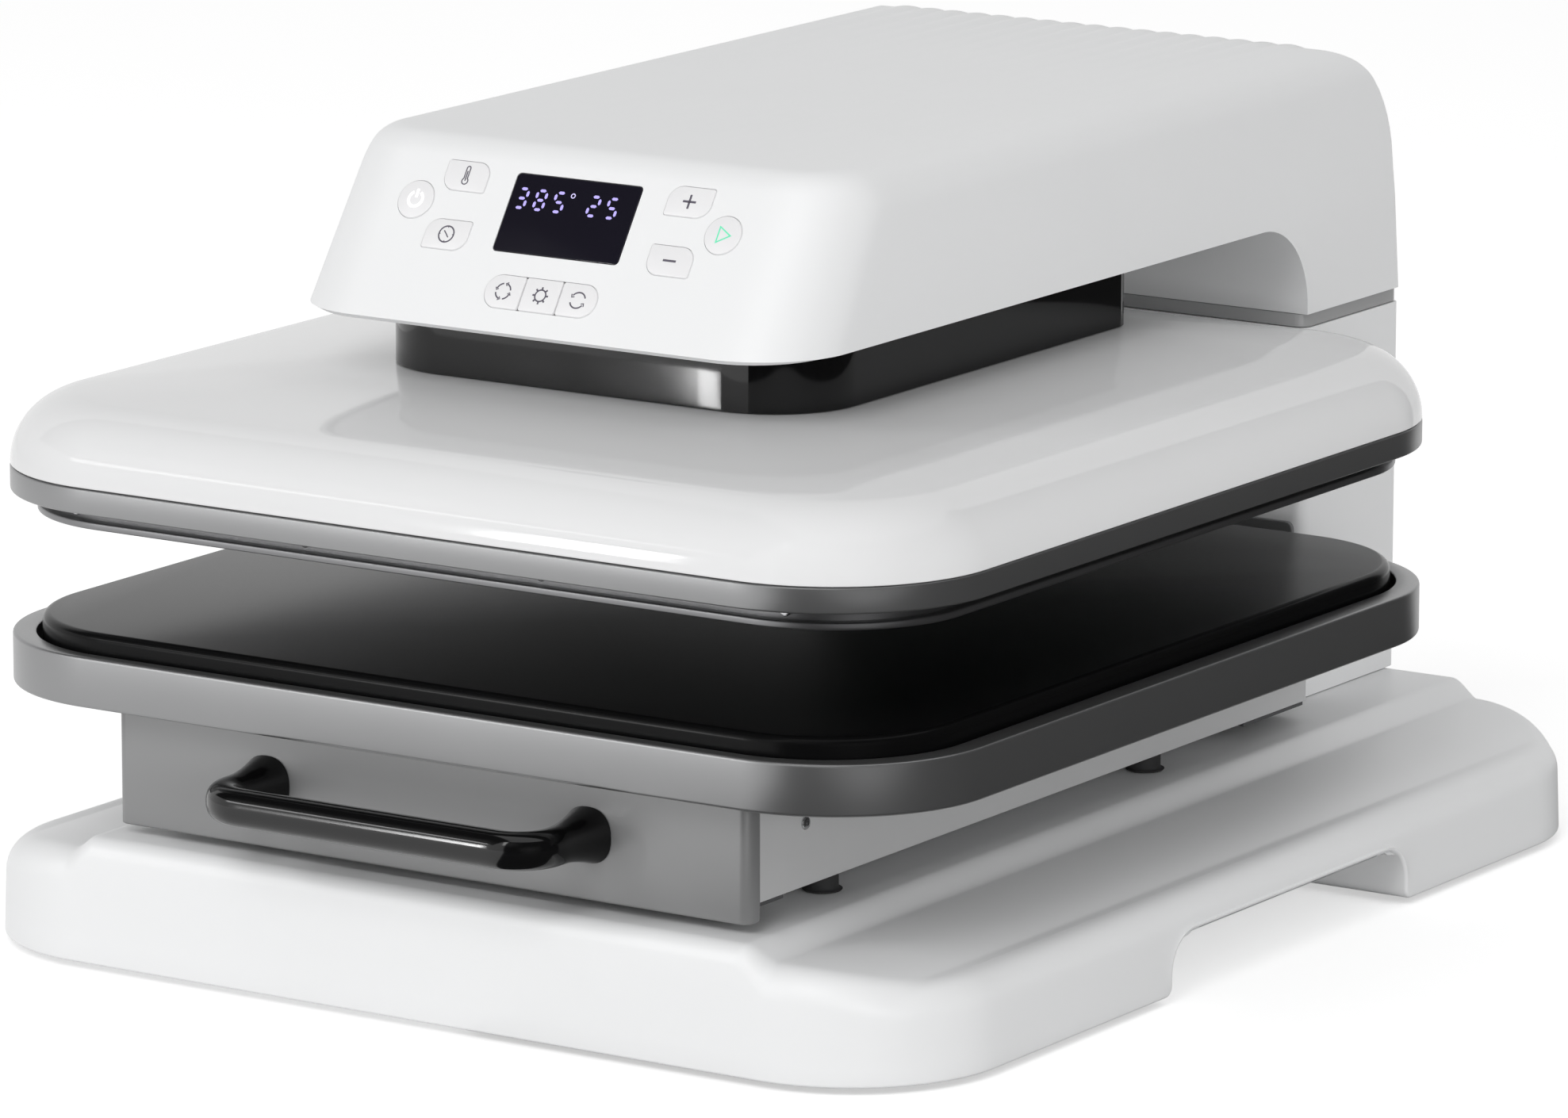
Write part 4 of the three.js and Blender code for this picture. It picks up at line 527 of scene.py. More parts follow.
def node(tree, kind, **inputs):
    """Adds a shader node; a value sets the input of that name, and a socket is linked to it."""
    made = tree.nodes.new(kind)
    for name, value in inputs.items():
        socket = made.inputs[name.replace("_", " ")]
        if isinstance(value, bpy.types.NodeSocket):
            tree.links.new(value, socket)
        else:
            socket.default_value = value
    return made


def coloured(colour, factor=1.0):
    return tuple(min(channel * factor, 1) for channel in colour) + (1,)


def material(name):
    """Procedural finish: two soft noises vary colour and gloss, and a fine one gives the grain."""
    if name in bpy.data.materials:
        return bpy.data.materials[name]
    recipe = recipes()[name]
    made = bpy.data.materials.new(name)
    tree = emptied(made)
    place = tree.nodes.new("ShaderNodeTexCoord").outputs["Object"]
    cloud = node(tree, "ShaderNodeTexNoise", Vector=place, Scale=14.0, Detail=3.0)
    if recipe.brushed:
        place = node(tree, "ShaderNodeMapping", Vector=place, Scale=recipe.brushed).outputs[0]
        fine = node(tree, "ShaderNodeTexNoise", Vector=place, Scale=4.0, Detail=4.0)
    else:
        fine = node(tree, "ShaderNodeTexNoise", Vector=place, Scale=1 / (recipe.grain * MM),
                    Detail=2.0)
    colour = node(tree, "ShaderNodeMix")
    colour.data_type = "RGBA"
    tree.links.new(cloud.outputs["Fac"], colour.inputs[0])
    colour.inputs[6].default_value = coloured(recipe.colour, 1 - recipe.mottle)
    colour.inputs[7].default_value = coloured(recipe.colour, 1 + recipe.mottle)
    paint = colour.outputs[2]
    if recipe.speckle:
        size, second = recipe.speckle
        cells = node(tree, "ShaderNodeTexVoronoi", Vector=place, Scale=1 / (size * MM))
        dots = node(tree, "ShaderNodeMapRange", Value=cells.outputs["Distance"], From_Min=0.18,
                    From_Max=0.24, To_Min=1.0, To_Max=0.0)
        over = node(tree, "ShaderNodeMix")
        over.data_type = "RGBA"
        tree.links.new(dots.outputs[0], over.inputs[0])
        tree.links.new(paint, over.inputs[6])
        over.inputs[7].default_value = coloured(second)
        paint = over.outputs[2]
    gloss = node(tree, "ShaderNodeMapRange", Value=fine.outputs["Fac"],
                 To_Min=max(recipe.roughness - recipe.spread, 0.02),
                 To_Max=recipe.roughness + recipe.spread)
    bump = node(tree, "ShaderNodeBump", Height=fine.outputs["Fac"], Strength=0.5,
                Distance=recipe.depth * MM)
    shader = node(tree, "ShaderNodeBsdfPrincipled", Base_Color=paint, Roughness=gloss.outputs[0],
                  Normal=bump.outputs[0], Metallic=recipe.metallic)
    shader.inputs["Specular IOR Level"].default_value = recipe.specular
    if recipe.light:
        shader.inputs["Emission Color"].default_value = coloured(recipe.colour)
        shader.inputs["Emission Strength"].default_value = recipe.light
    out = tree.nodes.new("ShaderNodeOutputMaterial")
    tree.links.new(shader.outputs[0], out.inputs[0])
    return made


def paint_node(name, finish):
    """Gives a CAD node that stays in view its finish."""
    mesh = frame["nodes"][name].data
    mesh.materials.clear()
    mesh.materials.append(material(finish))


# Base
def base_roof(x):
    """Height of the base's top: the plateau, less a soft step (a cubic ease), less a wing that
    falls with the square of the way out."""
    s = settings("shells")
    top = span("base_shell", 2)[1]
    past = np.abs(x) - s.plateau
    slope = np.clip(past / s.step_width, 0, 1)
    wing = np.clip((past - s.step_width) / s.wing_width, 0, 1)
    return top - s.step_drop * slope * slope * (3 - 2 * slope) - s.wing_fall * wing ** 2


def recess_edge():
    """A side's lower edge over its finger recess, from front to rear as (y, z, normal y, normal z),
    with rounded feet and corners. The normal points into the wall."""
    s = settings("shells")
    foot = 4 * MM
    front, rear, top, radius = s.grip_front, s.grip_rear, s.grip_height, s.grip_radius

    def turn(y, z, r, start, end, steps, sign):
        angle = np.linspace(start, end, steps + 1)
        c, n = np.cos(angle), np.sin(angle)
        return np.stack([y + r * c, z + r * n, sign * c, sign * n], -1)

    rise = turn(front - foot, foot, foot, -QUARTER, 0, 6, -1)
    corner = turn(front + radius, top - radius, radius, math.pi, QUARTER, 12, 1)
    lid = np.linspace(front + radius, rear - radius, 25)[1:-1]
    flat = np.stack([lid, np.full_like(lid, top), 0 * lid, 0 * lid + 1], -1)
    far_corner = turn(rear - radius, top - radius, radius, QUARTER, 0, 12, 1)
    fall = turn(rear + foot, foot, foot, math.pi, math.pi + QUARTER, 6, -1)
    return np.concatenate([rise, corner, flat, far_corner, fall])


def base_shape():
    """The base's skin: a wall whose lower edge goes over the recesses, a rounded upper edge, a roof
    of straight lines from front to rear, open at the posts, and a pocket behind each recess."""
    s = settings("shells")
    half, (front, rear) = span("base_shell", 0)[1] - BASE_NARROWER, span("base_shell", 1)
    lip, corner, draft = s.base_lip, s.base_corner, 0.8 * MM
    turns = np.concatenate([np.linspace(0, 0.12, 7), np.linspace(0.12, QUARTER, 26)[1:]])
    reach = half - corner
    ramp = np.linspace(s.plateau - 4 * MM, reach, 13)
    across = np.concatenate([-ramp[::-1], np.linspace(-ramp[0], ramp[0], 33)[1:-1], ramp])
    across = (across / reach + 1) / 2
    edge = recess_edge()
    clear, level = 6 * MM, (0, 0, 1)
    near = [(y, *level) for y in np.linspace(front + corner, edge[0, 0] - clear, 9)]
    far = [(y, *level) for y in np.linspace(edge[-1, 0] + clear, rear - corner, 9)]
    side = np.concatenate([near, edge, far])
    outer = side[:, :2] + lip * side[:, 2:]
    step = np.concatenate([[0], np.cumsum(np.linalg.norm(np.diff(outer, axis=0), axis=1))])
    spread = front + corner + (rear - front - 2 * corner) * step / step[-1]
    along = (spread - spread[0]) / (spread[-1] - spread[0])
    plan = Plan(half, front, rear, corner, turns=turns, along=along, across=across)
    inner = len(across) - 2
    ring_turns = len(turns)
    right = slice(ring_turns - 1, ring_turns - 1 + len(side))
    count = plan.rings([(0, 0)]).shape[1]
    # Known fault: the left side starts one point later, so the roof's two side seams stay open.
    left_start = right.stop + ring_turns - 2 + inner + ring_turns - 1
    left = np.arange(left_start, left_start + len(side))

    def edge_ring(inset, rise):
        ring = plan.rings([(inset, rise)])[0]
        path = side[:, :2] + rise * side[:, 2:]
        ring[right, 1:] = path
        ring[left, 1:] = path[::-1]
        return ring

    outline = plan.rings([(0, 0)])[0]
    rings = [edge_ring(lip - lip * math.sin(a), lip - lip * math.cos(a))
             for a in np.linspace(0, QUARTER, 5)]
    blend = np.clip((np.abs(outline[:, 0]) - s.plateau) / s.step_width, 0, 1)
    radius = s.edge_front + (s.edge_side - s.edge_front) * blend
    upper = []
    for angle in np.linspace(0, QUARTER, 11):
        inset = draft + radius * (1 - math.cos(angle))
        flat = np.stack([plan.rings([(i, 0)])[0] for i in np.unique(inset)])
        pick = np.searchsorted(np.unique(inset), inset)
        ring = flat[pick, np.arange(count)]
        ring[:, 2] = base_roof(ring[:, 0]) - radius + radius * math.sin(angle)
        upper.append(ring)
    low, high = rings[-1], upper[0]
    between = [low + (high - low) * v for v in np.linspace(0, 1, 6)[1:-1]]
    rings = np.stack(rings + between + upper)
    parts = [grid(rings, wrap=True)]
    top = rings[-1]
    ends = 2 * ring_turns + inner
    front_row = np.roll(top, count - left[-1], 0)[:ends]
    rear_row = top[right.stop - 1:right.stop - 1 + ends][::-1]
    roof = front_row[None] + (rear_row - front_row)[None] * along[:, None, None]
    roof[..., 2] = base_roof(roof[..., 0])
    vertices, faces = grid(roof)
    middle = vertices[np.array(faces)].mean(1)
    hidden = np.zeros(len(faces), bool)
    for post in ("post_left", "post_right"):
        (x0, x1), (y0, y1) = span(post, 0), span(post, 1)
        hidden |= ((middle[:, 0] > x0) & (middle[:, 0] < x1) & (middle[:, 1] > y0)
                   & (middle[:, 1] < y1))
    parts.append((vertices, [face for face, gone in zip(faces, hidden) if not gone]))
    opening = edge[:, :2]
    for sign in (-1, 1):
        depth = np.linspace(half - lip, half - s.grip_depth, 9)
        rows = np.stack([np.column_stack([np.full(len(opening), sign * d), opening]) for d in depth])
        parts.append(grid(rows, flip=sign > 0))
        wall = rows[-1][6:-6]
        parts.append((wall, [list(range(len(wall)))[::(1 if sign > 0 else -1)]]))
    return together(*parts)


# Housing
def housing_sections(heights):
    """For each height: the side's inset, the front, the rear, and the two corner radii. The front
    follows the slanted face and then a rounding, the rear a large arc, as circles solved for z."""
    s = settings("shells")
    z = np.asarray(heights, float)
    low, top = housing_levels()
    radius, back = s.housing_edge, s.housing_back
    front0 = span("head_shell", 1)[0]
    tan = s.panel_setback / (top - low)
    tilt = math.atan(tan)
    centre = top - radius
    over = np.maximum(z - centre, 0)
    inset = s.housing_draft * (z - low) / (top - low) + radius - np.sqrt(
        np.maximum(radius ** 2 - over ** 2, 0))
    face_end = centre + radius * math.sin(tilt)
    on_face = front0 + (np.minimum(z, face_end) - low) * tan
    middle = front0 + (face_end - low) * tan + radius * math.cos(tilt)
    rounding = middle - np.sqrt(np.maximum(radius ** 2 - (z - centre) ** 2, 0))
    front = np.where(z <= face_end, on_face, rounding)
    rear0 = span("head_shell", 1)[1]
    back_z = top - back
    rear_top = rear0 - s.housing_back_inset
    lean = rear_top + (rear0 - rear_top) * (back_z - z) / (back_z - span("trim_band", 2)[1])
    arc_rear = rear_top - back + np.sqrt(np.maximum(back ** 2 - (z - back_z) ** 2, 0))
    rear = np.where(z > back_z, arc_rear, lean)
    rear_corner = np.maximum(s.housing_rear_corner - inset / 2, 1 * MM)
    return inset, front, rear, s.housing_corner - inset, rear_corner


def housing_levels():
    """The housing's lower edge and its flat top, without the ribs."""
    low = span("head_floor", 2)[0] - 0.6 * MM
    return low, span("head_shell", 2)[1] - settings("shells").rib_height


@lru_cache(maxsize=None)
def panel_axes():
    """The slanted face: its origin at the lower edge, the way up it and the way out of it."""
    s = settings("shells")
    low, top = housing_levels()
    tilt = math.atan2(s.panel_setback, top - low)
    return (np.array([0, span("head_shell", 1)[0], low]), np.array([0, math.sin(tilt), math.cos(tilt)]),
            np.array([0, -math.cos(tilt), math.sin(tilt)]), tilt)


def on_panel(flat, depth=0.0):
    """Puts points given as (across, up the face) on the slanted face, at a depth out of it."""
    flat = np.asarray(flat, float)
    origin, up, out, _ = panel_axes()
    depth = np.broadcast_to(np.asarray(depth, float), flat.shape[:-1])
    across = np.zeros(flat.shape[:-1] + (3,))
    across[..., 0] = flat[..., 0]
    return origin + across + flat[..., 1:] * up + depth[..., None] * out


def box_outline(x, y, half_width, half_height, radii, grow=0.0):
    """Rounded box with its own radius at the lower right, upper right, upper left and lower left."""
    points = []
    for index, (sx, sy) in enumerate(((1, -1), (1, 1), (-1, 1), (-1, -1))):
        radius = radii[index] + grow
        points.append(arc(x + sx * (half_width + grow - radius), y + sy * (half_height + grow - radius),
                          radius, (index - 1) * QUARTER, index * QUARTER, 10))
    return np.concatenate(points)


def key_outline(name, grow=0.0):
    """Outline of one key on the slanted face, from the middle of its solid."""
    p = settings("panel")
    x, y = key_middle(name)
    if name in ("power", "start"):
        return arc(x, y, p.round_key + grow, 0, FULL_TURN, 48)[:-1]
    leaf, end, middle = ((p.leaf_width, p.leaf_height), (END_KEY_HALF_WIDTH, ROW_HALF_HEIGHT),
                         (MIDDLE_KEY_HALF_WIDTH, ROW_HALF_HEIGHT))
    size, radii = {
        "temperature": (leaf, (LEAF_POINT, LEAF_BULGE) * 2),
        "minus": (leaf, (LEAF_POINT, LEAF_BULGE) * 2),
        "time": (leaf, (LEAF_BULGE, LEAF_POINT) * 2),
        "plus": (leaf, (LEAF_BULGE, LEAF_POINT) * 2),
        "cycle": (end, (LEAF_POINT, LEAF_POINT, ROW_END, ROW_END)),
        "auto": (end, (ROW_END, ROW_END, LEAF_POINT, LEAF_POINT)),
        "settings": (middle, (LEAF_POINT,) * 4),
    }[name]
    return box_outline(x, y, *size, radii, grow)


def node_on_panel(name):
    """A CAD node's points as places across the slanted face, up it and out of it."""
    mesh = frame["nodes"][name].data
    co = np.empty(len(mesh.vertices) * 3, np.float32)
    mesh.vertices.foreach_get("co", co)
    origin, up, out, _ = panel_axes()
    points = co.reshape(-1, 3) - FIT_SHIFT - origin
    return points[:, 0], points @ up, points @ out


@lru_cache(maxsize=None)
def key_middle(name):
    """Middle of a key's cap across the face and up it."""
    across, rise, height = node_on_panel(name + "_key")
    cap = height > height.max() - 0.1 * MM
    return ((across[cap].min() + across[cap].max()) / 2, (rise[cap].min() + rise[cap].max()) / 2)


def row_outline(grow=0.0):
    """Outline of the opening that the three keys of the row share."""
    x, y = key_middle("settings")
    return box_outline(x, y, ROW_HALF_WIDTH, ROW_HALF_HEIGHT, (ROW_END,) * 4, grow)


def display_outline(grow=0.0):
    """Outline of the display glass, from the part of its solid that shows."""
    across, rise, height = node_on_panel("display_lens")
    seen = height > -0.1 * MM
    low, high = rise[seen].min(), rise[seen].max()
    return box_outline(0, (high + low) / 2, np.abs(across[seen]).max(), (high - low) / 2,
                       (LENS_CORNER,) * 4, grow)


def inside(points, loop):
    """Which points lie inside a closed loop: a line to the right crosses it an odd number of times."""
    x, y = points[:, :1], points[:, 1:]
    (x0, y0), (x1, y1) = loop.T, np.roll(loop, -1, 0).T
    over = (y0 > y) != (y1 > y)
    safe = np.where(y1 == y0, 1, y1 - y0)
    return (over & (x < (x1 - x0) * (y - y0) / safe + x0)).sum(1) % 2 == 1


def panel_face(border, holes):
    """Flat face with holes: triangles over all the loops, less those whose middle is in a hole."""
    loops = [border] + holes
    points, edges, start = [], [], 0
    for loop in loops:
        number = np.arange(len(loop)) + start
        edges += np.stack([number, np.roll(number, -1)], -1).tolist()
        points += [Vector(p) for p in loop.tolist()]
        start += len(loop)
    found = delaunay_2d_cdt(points, edges, [], 1, 1e-8)
    flat = np.array([list(p) for p in found[0]])
    faces = np.array(found[2])
    middle = flat[faces].mean(1)
    keep = inside(middle, border)
    for hole in holes:
        keep &= ~inside(middle, hole)
    return on_panel(flat), faces[keep].tolist()


def roof_wave(x):
    """Height of the ribs across the roof: a raised cosine of the pitch, faded out at the sides."""
    s = settings("shells")
    wave = 0.5 + 0.5 * np.cos(FULL_TURN * x / s.rib_pitch)
    edge = 8.5 * s.rib_pitch
    fade = np.clip((edge - np.abs(x)) / (0.1 * s.rib_pitch), 0, 1)
    return s.rib_height * wave * np.where(np.abs(x) < edge, fade, 0)


def housing_shape():
    """The housing's skin: level rings up to the flat top, a ribbed roof of lines from front to
    rear, the slanted face with its openings, the rear wall down to the trim, and the throat."""
    s, p = settings("shells"), settings("panel")
    low, top = housing_levels()
    half = span("head_shell", 0)[1]
    tilt = panel_axes()[3]
    radius = s.housing_edge
    centre = top - radius
    face_end = centre + radius * math.sin(tilt)
    curve = centre + radius * np.sin(np.linspace(0, QUARTER, 15))
    levels = np.unique(np.concatenate([np.linspace(low, centre, 10), curve, [face_end]]).round(9))
    inset, front, rear, front_corner, rear_corner = housing_sections(levels)
    throat_y, throat_end_y = span("column_shell", 1)[0] - s.throat, span("column_shell", 1)[0]
    turn = np.linspace(0, THROAT_END, 14)
    mid = np.concatenate([throat_y + s.throat * np.sin(turn), [throat_end_y]])
    columns_across = 150
    turns, across = np.linspace(0, QUARTER, 17), even(columns_across)
    side_x = half - inset
    y0, y1 = front + front_corner, rear - rear_corner
    knots = [y0[:, None] + (throat_y - y0)[:, None] * even(24)[None, :-1],
             np.broadcast_to(mid, (len(levels), len(mid))),
             throat_end_y + (y1 - throat_end_y)[:, None] * even(6)[None, 1:]]
    along = np.concatenate(knots, 1)
    run = along.shape[1]
    ring = rounded_outline(-side_x, side_x, front, rear, front_corner, rear_corner, turns, across,
                           np.linspace(0, 1, run))
    corner = len(turns)
    right = np.arange(corner - 1, corner - 1 + run)
    left = right[-1] + (corner - 1) + columns_across + (corner - 1) + np.arange(run)
    count = ring.shape[1]
    ring[:, right, 1] = along
    ring[:, left, 1] = along[:, ::-1]
    rings = np.concatenate([ring, np.broadcast_to(levels[:, None, None], ring.shape[:2] + (1,))], -1)
    lift = np.clip((levels - (top - s.housing_back)) / s.housing_back, 0, 1)
    lean = np.sqrt(1 - lift ** 2)
    rear_run = np.arange(right[-1], left[0] + 1)
    wave = roof_wave(rings[:, rear_run, 0]) * np.clip((lift - 0.35) / 0.35, 0, 1)[:, None]
    rings[:, rear_run, 1] += wave * lean[:, None]
    rings[:, rear_run, 2] += wave * lift[:, None]
    face_levels = int(np.argmin(np.abs(levels - face_end)))
    front_run = np.arange(left[-1] + corner - 1, count + 1) % count
    vertices, faces = grid(rings, wrap=True)
    quads = np.array(faces)
    column, row = quads[:, 0] % count, quads[:, 0] // count
    in_face = np.isin(column, front_run[:-1]) & (row < face_levels)
    parts = [(vertices, quads[~in_face].tolist())]
    roof_front = np.roll(rings[-1], -left[-1], 0)[:2 * corner + columns_across - 1]
    roof_rear = rings[-1][right[-1]:left[0] + 1][::-1]
    shares = (along[-1] - along[-1, 0]) / (along[-1, -1] - along[-1, 0])
    fine = np.unique(shares)[:, None, None]
    roof = roof_front[None] + (roof_rear - roof_front)[None] * fine
    grow = np.clip((roof[..., 1] - front[-1]) / (rear[-1] - front[-1]), 0, 1)
    base = top + roof_wave(roof[..., 0]) * (0.12 * np.minimum(grow * 6, 1) + 0.88 * grow ** 6)
    rim = np.zeros(roof.shape[:2], bool)
    rim[0], rim[-1], rim[:, 0], rim[:, -1] = True, True, True, True
    roof[..., 2] = np.where(rim, roof[..., 2], base)
    parts.append(grid(roof))
    width = rings[0, front_run[0], 0], rings[0, front_run[-1], 0]
    rise = (levels[:face_levels + 1] - low) / math.cos(tilt)
    bottom = rings[0, front_run, 0]
    border = np.concatenate([
        np.stack([bottom, 0 * bottom], -1),
        np.stack([np.full(face_levels - 1, width[1]), rise[1:-1]], -1),
        np.stack([bottom[::-1], np.full(len(bottom), rise[-1])], -1),
        np.stack([np.full(face_levels - 1, width[0]), rise[1:-1][::-1]], -1),
    ])
    holes = [key_outline(name, p.seam) for name in KEY_NAMES[:6]]
    holes += [row_outline(p.seam), display_outline(p.seam)]
    parts.append(panel_face(border, holes))
    trim = span("head_shell", 2)[0]
    lower = np.concatenate([
        low - s.throat + np.sqrt(s.throat ** 2 - (mid[:-1] - throat_y) ** 2), [trim]])
    start = right[len(along[0]) - len(mid) - 6]
    stop = left[-1] - (start - right[0])
    columns = np.arange(start, stop + 1)
    foot = np.full(len(columns), trim)
    foot[:len(mid)], foot[-len(mid):] = lower, lower[::-1]
    rows = []
    for part in np.linspace(0, 1, 8):
        height = foot + (low - foot) * part
        rear_at = housing_sections(height)[2]
        row = rings[0, columns].copy()
        y = row[:, 1]
        back = np.clip((y - throat_end_y) / (rear[0] - throat_end_y), 0, 1)
        row[:, 1] += np.where(y > throat_end_y + 1 * MM, (rear_at - rear[0]) * back, 0)
        row[:, 2] = height
        rows.append(row)
    parts.append(grid(np.stack(rows)))
    edge = np.stack([mid, lower], -1)
    parts.append(grid(np.stack([np.column_stack([np.full(len(edge), x), edge])
                                for x in np.linspace(side_x[0], -side_x[0], 25)])))
    return together(*parts)


class HEATPRESS_OT_base(bpy.types.Operator):
    """Moulded base with a raised middle, falling wings and a finger recess under each side"""

    bl_idname = "heat_press.base"
    bl_label = "Base"

    def execute(self, context):
        s = settings("shells")
        piece("base_moulding", base_shape(), "press_frame", "shell white", ["base_shell"],
              weld=True, wall=s.base_wall, crease=30)
        paint_node("base_plate", "sheet steel")
        return {"FINISHED"}


def rubber_piece(node_name, profile):
    """A rubber piece turned about the upright line through the middle of its node."""
    (x0, x1), (y0, y1) = span(node_name, 0), span(node_name, 1)
    piece("rubber_" + node_name, lathe(profile, (x0 + x1) / 2, (y0 + y1) / 2), "press_frame",
          "rubber", [node_name])


class HEATPRESS_OT_feet(bpy.types.Operator):
    """Four rubber feet under the base"""

    bl_idname = "heat_press.feet"
    bl_label = "Feet"

    def execute(self, context):
        for name in ("front_left", "front_right", "rear_left", "rear_right"):
            foot = "foot_" + name
            (x0, x1), (z0, z1) = span(foot, 0), span(foot, 2)
            r = (x1 - x0) / 2
            lip = 0.7 * MM
            flat = r - 1.5 * MM - lip
            rubber_piece(foot, [(0.4 * MM, z0 + 0.5 * MM), (r - 6 * MM, z0 + 0.5 * MM),
                                (r - 5 * MM, z0), (flat, z0), *arc(flat, z0 + lip, lip, -QUARTER, 0, 5),
                                (r, z1), (0.4 * MM, z1)])
        return {"FINISHED"}


class HEATPRESS_OT_column(bpy.types.Operator):
    """Column with its dark front panel and the grey trim strip"""

    bl_idname = "heat_press.column"
    bl_label = "Column"

    def execute(self, context):
        dressed_copy("column_moulding", "column_shell", "shell white", 0.5 * MM)
        dressed_copy("trim_strip", "trim_band", "trim grey", 0.3 * MM)
        dressed_copy("column_panel", "column_front_panel", "panel dark", 0.5 * MM)
        return {"FINISHED"}


class HEATPRESS_OT_housing(bpy.types.Operator):
    """Moulded housing with its slanted face, ribbed roof, round back and throat"""

    bl_idname = "heat_press.housing"
    bl_label = "Housing"

    def execute(self, context):
        s = settings("shells")
        piece("housing_moulding", housing_shape(), "press_frame", "shell white", ["head_shell"],
              weld=True, wall=s.shell_wall, crease=30)
        dressed_copy("housing_floor", "head_floor", "shell white", 0.3 * MM)
        return {"FINISHED"}


def neck_plan():
    s = settings("shells")
    half, (front, rear) = span("neck_skirt", 0)[1], span("neck_skirt", 1)
    return Plan(half, front, rear, s.neck_corner, s.neck_rear_corner)


class HEATPRESS_OT_neck(bpy.types.Operator):
    """Glossy black sleeve between the housing and the cover"""

    bl_idname = "heat_press.neck"
    bl_label = "Neck"

    def execute(self, context):
        s = settings("shells")
        low, high = span("neck_skirt", 2)
        wall, edge = s.neck_wall, 0.5 * MM
        profile = [
            (wall + 7.5 * MM, low), (0.2 * MM, low), (0, low + 0.2 * MM), (0, low + 6 * MM),
            (0, high - edge), *arc(edge, high - edge, edge, math.pi, QUARTER, 4),
            *arc(wall - edge, high - edge, edge, QUARTER, 0, 4), (wall, low + 1.5 * MM),
            (wall + 7.5 * MM, low + 1.5 * MM),
        ]
        piece("neck_sleeve", skin(neck_plan().rings(profile), around=True), "heat_head",
              "neck gloss", ["neck_skirt"])
        return {"FINISHED"}


def plate_plan(node_name, radius):
    half, (front, rear) = span(node_name, 0)[1], span(node_name, 1)
    return Plan(half, front, rear, radius)


def cover_rings(wall):
    """Rings of the cover's outside (wall 0) or inside: a straight foot, a shoulder arc that ends on
    the crown's slope, and a crown that blends the plate's ring into the neck's, eased in height."""
    s = settings("shells")
    plan = plate_plan("platen_cover", s.plate_corner)
    low, high = span("platen_cover", 2)
    radius = s.cover_shoulder - wall
    slope = 0.1
    shoulder = [(wall + radius - radius * math.cos(a), low + radius * math.sin(a))
                for a in np.linspace(0, QUARTER - slope, 19)]
    start = [(wall + 0.3 * MM, low), (wall, low + 0.3 * MM)] if wall == 0 else [(wall, low)]
    rings = plan.rings(start + shoulder[1:])
    last = rings[-1]
    neck = neck_plan().rings([(-3 * MM, high - wall)])[0]
    t = np.linspace(0, 1, 15)[1:, None, None]
    crown = last + (neck - last) * t
    rise = (high - wall) - last[:, 2]
    crown[..., 2] = last[:, 2] + rise * (1 - (1 - t[..., 0]) ** 1.35)
    opening = neck_plan().rings([(11 * MM, high - wall)])
    return np.concatenate([rings, crown, opening])


class HEATPRESS_OT_cover(bpy.types.Operator):
    """Glossy domed cover and the dark band under it"""

    bl_idname = "heat_press.cover"
    bl_label = "Cover"

    def execute(self, context):
        s = settings("shells")
        outside, within = cover_rings(0), cover_rings(s.shell_wall)
        piece("cover_moulding", skin(np.concatenate([outside, within[::-1]]), around=True),
              "heat_head", "cover gloss", ["platen_cover"], crease=40)
        plan = plate_plan("platen_band", s.plate_corner)
        low, high = span("platen_band", 2)
        outer = plan.rings(rounded_rim(low, high, BAND_EDGE))
        platen = plate_plan("heating_platen", settings("plates").platen_corner)
        inner = platen.rings([(BAND_OVERLAP, high), (BAND_OVERLAP, low)])
        piece("cover_band", skin(np.concatenate([outer, inner]), around=True), "heat_head",
              "plate coat", ["platen_band"])
        return {"FINISHED"}


class HEATPRESS_OT_platen(bpy.types.Operator):
    """Heating platen with its lip, and the four bosses that carry it"""

    bl_idname = "heat_press.platen"
    bl_label = "Platen"

    def execute(self, context):
        s = settings("plates")
        plan = plate_plan("heating_platen", s.platen_corner)
        low = span("heating_platen", 2)[0]
        top = span("insulation_board", 2)[0] - 7 * MM
        e, lip = 0.7 * MM, low + s.platen_lip
        profile = [*rounded_rim(low, lip, e), (s.platen_step, lip), (s.platen_step, top)]
        parts = [skin(plan.rings(profile), start=True, end=True)]
        boss_top = span("carriage_plate", 2)[0] - 0.3 * MM
        boss = [(BOSS_RADIUS, top - 2 * MM), (BOSS_RADIUS, boss_top - e), (BOSS_RADIUS - e, boss_top)]
        parts += [lathe(boss, x, y, 32) for x in (-BOSS_PLACE, BOSS_PLACE)
                  for y in (-BOSS_PLACE, BOSS_PLACE)]
        piece("platen_casting", together(*parts), "heat_head", "platen metal", ["heating_platen"])
        return {"FINISHED"}


